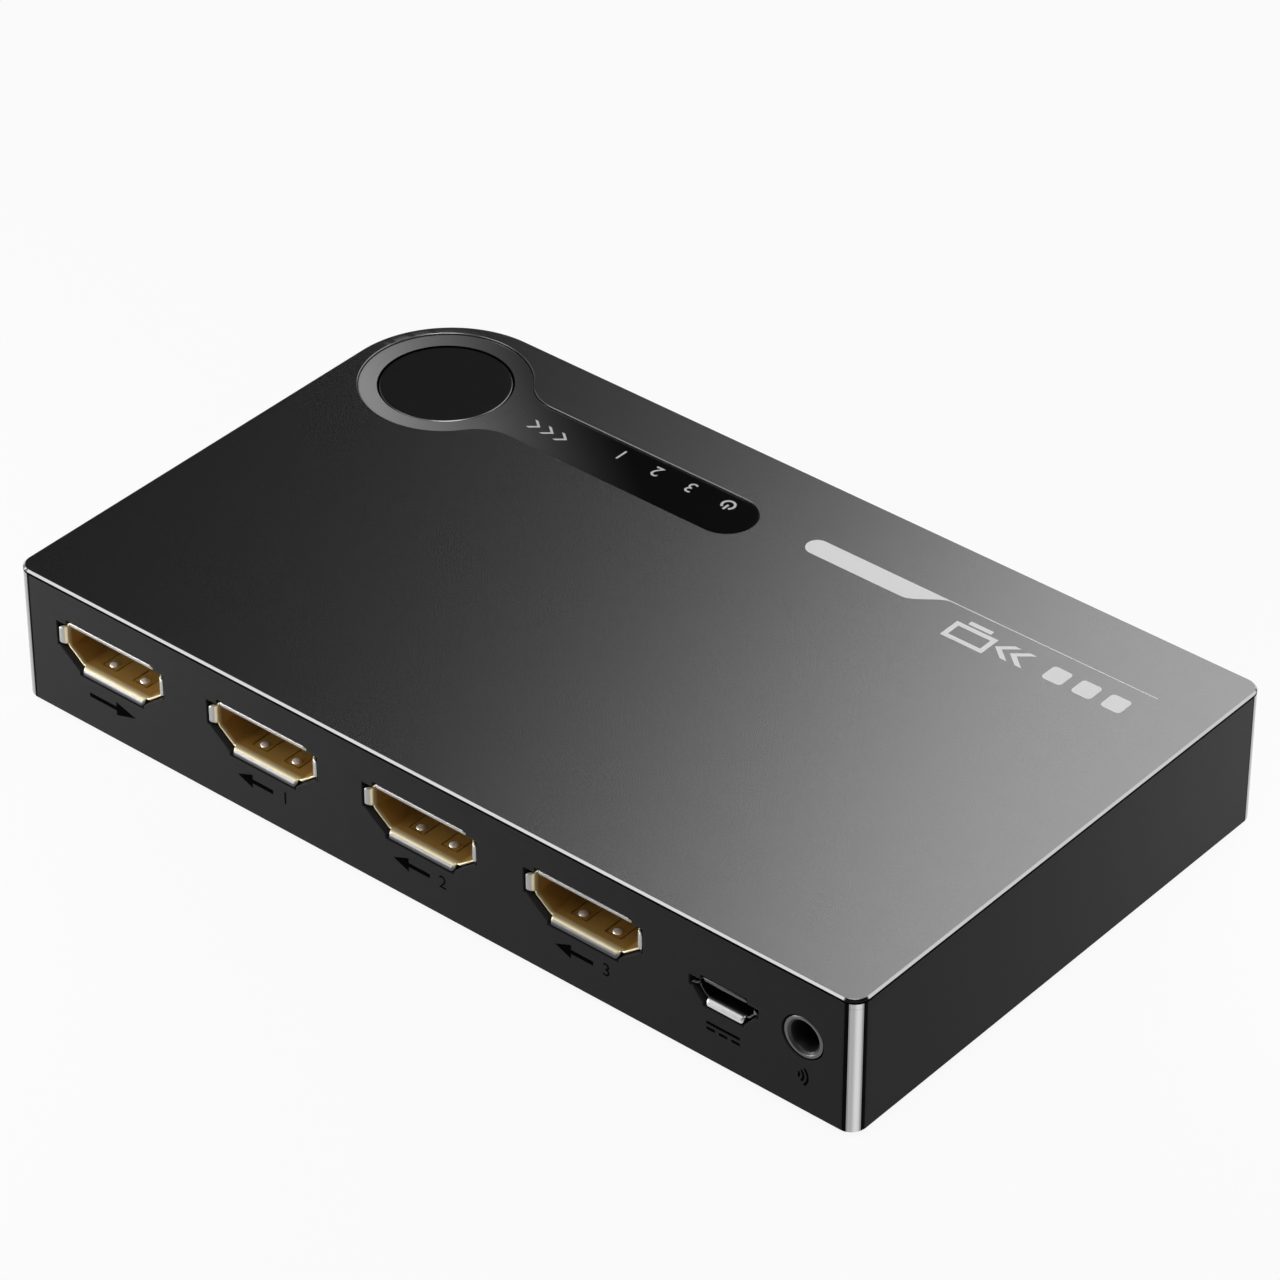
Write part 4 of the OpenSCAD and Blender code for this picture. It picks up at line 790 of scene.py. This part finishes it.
def lip_sheet(shape, length, place, flare, fold, tip, sheet, paint=0):
    """A flared lip: a bent sheet along its length, with rounded ends."""
    run, bend = fold - tip, 1.15
    inner = [(0.0, fold + LIP_ROOT)]
    inner += [(flare * (1 - cos(a)) / (1 - cos(bend)), fold - run * sin(a) / sin(bend))
              for a in (0.0, 0.25, 0.5, 0.75, 0.95, bend)]
    outer = [(o + sheet * 0.94, y + sheet * 0.3 * k / 6) for k, (o, y) in enumerate(inner)]
    last_o, last_y = inner[-1]
    nose = [(last_o + sheet * t, max(last_y + sheet * (0.3 * t - 0.25 * sin(pi * t)), tip))
            for t in (0.25, 0.5, 0.75)]
    section = inner + nose + outer[::-1]
    ends, middle = 0.35, sheet * 0.47
    stations = [-length / 2 + ends * (1 - cos(radians(a))) for a in (0, 25, 50, 70, 90)]
    stations += [-s for s in reversed(stations)]
    loops = []
    for s in stations:
        near = min(1.0, (length / 2 - abs(s)) / ends)
        reach = 0.35 + 0.65 * sqrt(max(0.0, 1 - (1 - near) ** 2))
        loops.append(shape.loop([place(s, middle + (o - middle) * (reach if o > sheet else 1),
                                       fold + (y - fold) * (reach if y < fold else 1)) for o, y in section]))
    shape.skin(loops, paint)
    shape.fill(loops[0], paint=paint)
    shape.fill(loops[-1], paint=paint)


def socket_tube(width, height, side, floor_width, sheet, fold, end, corner):
    """A drawn socket shell round the origin, with its rounded front edge towards -Y."""
    shape = Shape()

    def ring(grow, y):
        return shape.upright(mouth_outline(width, height, side, floor_width, grow, corner + grow), y)

    edge = ((1.0, 0.10), (0.86, 0.03), (0.55, 0.0), (0.3, 0.01), (0.08, 0.05), (0.0, LIP_ROOT))
    loops = [ring(sheet, end)] + [ring(sheet * share, fold + back) for share, back in edge] + [ring(0.0, end)]
    shape.skin(loops + [loops[0]])
    return shape


def socket_lips(shape, width, height, side, floor_width, sheet, fold, tip, flare, lips, paint=0):
    """The flared lips of a socket shell."""
    half, low, knee = width / 2, -height / 2, height / 2 - side
    middle = (height / 2 + knee) / 2
    places = {
        "top": (width - 1.3, lambda s, o, y: (s, y, height / 2 + o)),
        "bottom": (floor_width - 0.5, lambda s, o, y: (s, y, low - o)),
        "left": (side - 0.5, lambda s, o, y: (-half - o, y, middle + s)),
        "right": (side - 0.5, lambda s, o, y: (half + o, y, middle + s)),
    }
    for name in lips:
        length, place = places[name]
        lip_sheet(shape, length, place, flare, fold, tip, sheet, paint)


# One video socket shell, its finger slits cut through, then four in a row
VIDEO = (*VIDEO_MOUTH, SHEET, -34.25)
FINGERS_X = (-2.33, 2.33)
tube = socket_tube(*VIDEO, end=-22.25, corner=0.45)
slits = Shape()
slit = [(-1.12, -32.92), (1.12, -32.92), (1.12, -29.05), (0.95, -29.05), (0.95, -32.75), (-0.95, -32.75),
        (-0.95, -29.05), (-1.12, -29.05)]
for x in FINGERS_X:
    for z in (-2.8, 2.0):
        slits.slab([(x + u, y) for u, y in slit], Matrix.Translation((0, 0, z)), 0.8)
video = Shape()
video.take(carved(tube.to_mesh("video_tube"), slits.to_mesh("finger_slits")), Matrix.Scale(1 / MM, 4))
socket_lips(video, *VIDEO, tip=LIP_TIP_Y, flare=0.65, lips=("top", "bottom", "left", "right"))
put("video_shells", socket_row(video.to_mesh("video_shell"), socket_gold), "case", "gold_plate", (),
    "output_socket_shell", "input_1_socket_shell", "input_2_socket_shell", "input_3_socket_shell")

# Pressed dimples of the spring fingers, a pair above and a pair below
DIMPLE_Y, DIMPLE_Z, DIMPLE_BACK_Z = -32.1, 2.285, 2.33
dimple = Shape()
cap = [(0.55 * sin(radians(a)), 0.2 * cos(radians(a))) for a in (0, 15, 30, 45, 60, 75, 90)]
for x in FINGERS_X:
    for side in (-1, 1):
        dimple.turned([(r, side * (DIMPLE_Z - h)) for r, h in cap]
                      + [(0.5, side * DIMPLE_BACK_Z), (0, side * DIMPLE_BACK_Z)], x, DIMPLE_Y, steps=28)
put("finger_dimples", socket_row(dimple.to_mesh("dimple"), dimple_bright), "case", "gold_plate", ())

POWER = (*POWER_MOUTH, SHEET, -34.3)
# The tube and the upper and side lips take the painted shade, the lower lip the bright steel
power = socket_tube(*POWER, end=-29.1, corner=0.3)
for paint, lips in enumerate((("top", "left", "right"), ("bottom",))):
    socket_lips(power, *POWER, tip=LIP_TIP_Y, flare=0.6, lips=lips, paint=paint)
bmesh.ops.translate(power.mesh, vec=(POWER_X, 0, POWER_Z), verts=power.mesh.verts)
put("power_shell", power.to_mesh("power_shell"), "case", "plated_steel", (power_dark, power_steel),
    "power_socket_shell")


# ---------------------------------------------------------------- jack

# The collar's plated outside, then its dark bore
collar = Shape()
outside = ((2.1, -34.82), (2.15, -34.865), (2.22, -34.892), (2.32, -34.9), (2.44, -34.885), (2.52, -34.84),
           (2.55, -34.76), (2.55, -33.2), (2.25, -33.2), (2.25, -32.0))
inside = (outside[-1], (1.825, -32.0), (1.825, -34.5), (1.88, -34.62), (2.0, -34.72), (2.08, -34.78),
          outside[0])
for paint, line in enumerate((outside, inside)):
    collar.turned(line, JACK_X, JACK_Z, along="Y", steps=72, paint=paint)
put("jack_collar", collar.to_mesh("jack_collar"), "case", "collar_nickel",
    (finishes["collar_nickel"], finishes["moulded_black"]), "infrared_jack_collar")


# ---------------------------------------------------------------- feet and screws

foot = Shape()
foot.turned(((0, 0.12), (2.2, 0.12), (2.35, 0.1), (2.5, 0.0), (3.55, 0.0), (3.75, 0.04), (3.9, 0.14),
             (3.98, 0.3), (4.0, 0.5), (4.0, 1.1), (0, 1.1)), 0, 0, steps=56)
put("feet", on_spots(foot.to_mesh("foot"), FEET, finishes["foot_rubber"]), "case", "foot_rubber", (),
    "rubber_feet")

# A screw from its head to its point, with a cross cut into the head
THREAD_TURNS, THREAD_START, THREAD_PITCH = 30, 2.4, 0.34
CROSS_LONG, CROSS_NARROW = 1.4, 0.275
screw = Shape()
head = [(0, 0.7), (1.6, 0.7), (2.0, 0.76), (2.2, 0.9), (2.3, 1.15), (2.3, 1.95), (2.25, 2.0), (1.15, 2.0)]
thread = []
for k in range(THREAD_TURNS):
    z = THREAD_START + k * THREAD_PITCH
    thread += [(1.02, z), (1.18, z + 0.14), (1.18, z + 0.2)]
screw.turned(head + thread + [(0.9, 12.6), (0, 12.6)], 0, 0, steps=36)
screw_mesh = screw.to_mesh("screw")
for u, v in ((CROSS_LONG, CROSS_NARROW), (CROSS_NARROW, CROSS_LONG)):
    groove = Shape()
    groove.slab(block(-u, -v, u, v), Matrix.Translation((0, 0, 0.5)), 1.0)
    screw_mesh = carved(screw_mesh, groove.to_mesh("cross"))
put("screws", on_spots(screw_mesh, SCREWS, finishes["plated_steel"], turn=0.5), "case", "plated_steel", (),
    "case_screws")


# ---------------------------------------------------------------- switch dome

dome_low, dome_high = (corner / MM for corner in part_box("button_switch_dome"))
dome_r, dome_rise = (dome_high.x - dome_low.x) / 2, dome_high.z - dome_low.z
bow = [(dome_r * sin(radians(a)), cos(radians(a))) for a in (90, 75, 60, 45, 30, 15, 0)]
dome_sheet = 0.1
dome = Shape()
dome.turned([(r, dome_low.z + (dome_rise - dome_sheet) * h * h + dome_sheet) for r, h in bow]
            + [(r * 0.96, dome_low.z + (dome_rise - dome_sheet) * h * h) for r, h in reversed(bow)],
            BUTTON_X, BUTTON_Y, steps=48, closed=True)
dome_piece = put("switch_dome", dome.to_mesh("switch_dome"), "case", "spring_steel",
                 (finishes["spring_steel"],), "button_switch_dome")
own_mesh(dome_piece)


# ---------------------------------------------------------------- printed marks

# A digit's height in the font's size, and half of a printed digit's thickness
CAPITAL_SHARE, NUMERAL_HALF_T = 0.72, 0.008


def numeral(text, height):
    """A digit as a thin mesh in millimetres, centred."""
    curve = bpy.data.curves.new("numeral", "FONT")
    curve.body, curve.size, curve.extrude = text, height / CAPITAL_SHARE, NUMERAL_HALF_T
    curve.align_x, curve.align_y = "CENTER", "CENTER"
    curve.resolution_u = 6
    thing = loose("numeral", curve)
    made = plain_mesh(thing)
    bpy.data.objects.remove(thing)
    return made


def stroke(points, width):
    """An outline round an open line of points."""
    left, right = [], []
    for k, here in enumerate(points):
        here = Vector(here)
        before, after = Vector(points[max(k - 1, 0)]), Vector(points[min(k + 1, len(points) - 1)])
        along = (after - before).normalized()
        side = Vector((-along.y, along.x)) * width / 2
        left.append(tuple(here + side))
        right.append(tuple(here - side))
    return left + right[::-1]


def power_sign(size):
    half_line = size * 0.08
    return [stroke(arc(0, 0, size * 0.4, 125, 415, 28), size * 0.16),
            block(-half_line, 0, half_line, size * 0.52)]


def arrow(length, width, thick):
    tip, barb, half = length / 2, width / 2, thick / 2
    neck = tip - length * 0.42
    return [(-tip, -half), (neck, -half), (neck, -barb), (tip, 0), (neck, barb), (neck, half), (-tip, half)]


def chevron(x, size, thick):
    back, tip, half = x - size * 0.3, x + size * 0.3, size / 2
    return [(back, -half), (back + thick, -half), (tip + thick, 0), (back + thick, half), (back, half),
            (tip, 0)]


def screen_sign(width, height, line):
    """A screen on its stand: a frame made of four bars and a foot."""
    w, h = width / 2, height / 2
    low, stand = -h * 0.55, w * 0.55
    return [block(-w, h - line, w, h), block(-w, low, w, low + line),
            block(-w, low + line, -w + line, h - line), block(w - line, low + line, w, h - line),
            block(-stand, -h, stand, -h + line)]


def on_top(x, y, z):
    """Print on the lid reads from the back."""
    return Matrix.Translation((x, y, z)) @ Matrix.Rotation(pi, 4, "Z")


PORT_SIGN_Z = 5.2


def on_front(x):
    """Print on the front wall, under a port."""
    return Matrix.Translation((x, FRONT_Y + INK + 0.01, PORT_SIGN_Z)) @ Matrix.Rotation(pi / 2, 4, "X")


# Print starts just inside its face and ends just above it
LID_PRINT_Z, LID_PRINT_T = LID_Z - 0.01, 0.022
PANEL_PRINT_Z, PANEL_PRINT_T = PANEL_Z - 0.004, 0.016
PORT_PRINT_T = 0.02

# White on the lid: a plain bar that runs out into a line, and a sign for three sources to one screen
lid_print = Shape()
BAR_X, BAR_Y, BAR_HALF, BAR_END_X = 6.45, 24.3, 1.4, 51.7
SWEEP_X, SWEEP_RUN, SWEEP_RISE, SWEEP_STEPS = 19.2, 5.0, 2.68, 20
low_y = BAR_Y - BAR_HALF
sweep = [(SWEEP_X + SWEEP_RUN * t, low_y + SWEEP_RISE * (3 * t * t - 2 * t * t * t))
         for t in (k / SWEEP_STEPS for k in range(SWEEP_STEPS + 1))]
bar = arc(BAR_X, BAR_Y, BAR_HALF, 90, 270, 24) + sweep
bar += [(BAR_END_X, low_y + SWEEP_RISE), (BAR_END_X, BAR_Y + BAR_HALF)]
lid_print.slab(bar, Matrix.Translation((0, 0, LID_PRINT_Z)), LID_PRINT_T)
SOURCE_HALF = 1.3
sign = [block(x - SOURCE_HALF, -SOURCE_HALF, x + SOURCE_HALF, SOURCE_HALF, 0.5) for x in (-10.3, -6.4, -2.5)]
sign += [chevron(x, 2.8, 0.9) for x in (2.1, 4.1)]
sign += [[(x + 9.0, y) for x, y in outline] for outline in screen_sign(5.6, 4.0, 0.62)]
for outline in sign:
    lid_print.slab(outline, on_top(38.5, 22.1, LID_PRINT_Z), LID_PRINT_T)
put("lid_print", lid_print.to_mesh("lid_print"), "case", "cover_gunmetal", (print_white,))

# Pale grey on the panel: the numbers of the sources, the power sign and a pointer
PANEL_SIGN_Y, PANEL_SIGN_H = 24.5, 1.9
panel_print = Shape()
for text, x in (("1", -22.0), ("2", -16.8), ("3", -11.85)):
    panel_print.take(numeral(text, PANEL_SIGN_H), on_top(x, PANEL_SIGN_Y, PANEL_Z + 0.004))
for outline in power_sign(PANEL_SIGN_H):
    panel_print.slab(outline, on_top(-6.45, PANEL_SIGN_Y, PANEL_PRINT_Z), PANEL_PRINT_T)
for x in (-33.6, -31.6, -29.6):
    panel_print.slab(chevron(x, 1.7, 0.45), Matrix.Translation((0, BUTTON_Y, PANEL_PRINT_Z)), PANEL_PRINT_T)
put("panel_print", panel_print.to_mesh("panel_print"), "case", "panel_gloss", (print_grey,))

# Black under the ports: an arrow out, the numbers of the sources, direct current and infrared
ARROW_W, ARROW_LINE = 1.8, 0.55
port_print = Shape()
port_print.slab(arrow(7.0, ARROW_W, ARROW_LINE), on_front(SOCKETS_X[0]), PORT_PRINT_T)
for text, x in zip("123", SOCKETS_X[1:]):
    port_print.slab([(-u, v) for u, v in arrow(5.2, ARROW_W, ARROW_LINE)], on_front(x - 1.2), PORT_PRINT_T)
    port_print.take(numeral(text, 1.7), on_front(x + 3.2) @ Matrix.Translation((0, 0, NUMERAL_HALF_T)))
current = [block(-2.2, 0.2, 2.2, 0.55)] + [block(x, -0.55, x + 1.1, -0.2) for x in (-2.2, -0.55, 1.1)]
for outline in current:
    port_print.slab(outline, on_front(POWER_X), PORT_PRINT_T)
for radius in (0.45, 1.0, 1.55):
    port_print.slab(stroke(arc(-0.8, 0, radius, -45, 45, 12), 0.28), on_front(JACK_X), PORT_PRINT_T)
put("port_print", port_print.to_mesh("port_print"), "case", "case_black", (print_black,))


# ---------------------------------------------------------------- solids that stay

slots = {part["node"]: part["material_slot"] for part in frame["record"]["subparts"]}
for name, node in frame["nodes"].items():
    node.data.materials.clear()
    node.data.materials.append(finishes[slots[name]].material)


# ---------------------------------------------------------------- stage

# White paper: seen or mirrored it is almost evenly bright, and it lights the box as plain paper
FLOOR_HALF, PAPER_GLOW = 4, 0.92
floor_mesh = bpy.data.meshes.new("floor")
floor_mesh.from_pydata([(x, y, 0) for x, y in block(-FLOOR_HALF, -FLOOR_HALF, FLOOR_HALF, FLOOR_HALF)], [],
                       [(0, 1, 2, 3)])
floor = bpy.data.objects.new("floor", floor_mesh)
scene.collection.objects.link(floor)
paper = Finish("floor_paper", Roughness=0.9, Specular_IOR_Level=0.0)
mottle = paper.speckle(40.0)
paper.feed("Base Color", paper.tint(mottle, (0.58, 0.58, 0.58), (0.61, 0.61, 0.61)))
seen = sum((paper.node("ShaderNodeLightPath", {}, out=ray) for ray in (
    "Is Camera Ray", "Is Glossy Ray", "Is Transmission Ray")), 0.0)
glow = paper.node("ShaderNodeEmission", {}, Color=(1.0, 1.0, 1.0, 1.0), Strength=1.0)
mixed = paper.node("ShaderNodeMixShader", {}, seen.maths("MINIMUM", seen, 1.0) * PAPER_GLOW,
                   Wire(paper, paper.surface.outputs["BSDF"]), glow)
paper.tree.links.new(mixed.socket, paper.tree.nodes["Material Output"].inputs["Surface"])
floor_mesh.materials.append(paper.material)

world = bpy.data.worlds.new("studio")
world.use_nodes = True
backdrop = world.node_tree.nodes["Background"].inputs
backdrop["Color"].default_value = (1.0, 1.0, 1.0, 1.0)
backdrop["Strength"].default_value = 0.004
scene.world = world


def softbox(name, place, aim, width, height, level, roll=0.0):
    """A rectangular studio lamp, its level the brightness of its face, turned about its own axis by roll."""
    lamp = bpy.data.lights.new(name, "AREA")
    lamp.shape, lamp.size, lamp.size_y = "RECTANGLE", width * MM, height * MM
    lamp.energy = level * pi * width * height * MM * MM
    thing = bpy.data.objects.new(name, lamp)
    thing.location = Vector(place) * MM
    thing.rotation_euler = ((Vector(place) - Vector(aim)).to_track_quat("Z", "Y")
                            @ Quaternion((0, 0, 1), radians(roll))).to_euler()
    thing.visible_camera = False
    scene.collection.objects.link(thing)


MIDDLE = (0, 0, 10)
softbox("back_box", (176, 420, 480), (176, 0, 480), 900, 700, 1.09, roll=-27.3)
softbox("front_left_box", (-400, -450, 480), (0, -20, 18), 420, 420, 1.3)
softbox("key_box", (160, -160, 880), MIDDLE, 460, 460, 5.6)
softbox("left_box", (-130, -120, 32), (-59, -35, 9), 160, 44, 11.0)
softbox("right_box", (98, 50, 14), (59, 30, 9), 60, 20, 8.0)

# Weak fill for the other sides
softbox("front_fill", (300, -900, 330), MIDDLE, 1300, 420, 0.5)
softbox("right_fill", (950, 100, 260), MIDDLE, 900, 400, 0.5)
softbox("left_fill", (-950, 0, 260), MIDDLE, 900, 400, 0.45)

# The camera's place in millimetres and the direction from the box back to it, as fitted to the photo
EYE, BACK_TO_EYE = (327.6, -387.8, 384.8), (0.5208, -0.6189, 0.5879)
camera = bpy.data.cameras.new("camera")
camera.lens, camera.sensor_width = 162.65, 36.0
camera.clip_start, camera.clip_end = 0.01, 50.0
eye = bpy.data.objects.new("camera", camera)
eye.location = Vector(EYE) * MM
eye.rotation_euler = Vector(BACK_TO_EYE).to_track_quat("Z", "Y").to_euler()
scene.collection.objects.link(eye)
scene.camera = eye
scene.view_settings.view_transform = "Standard"
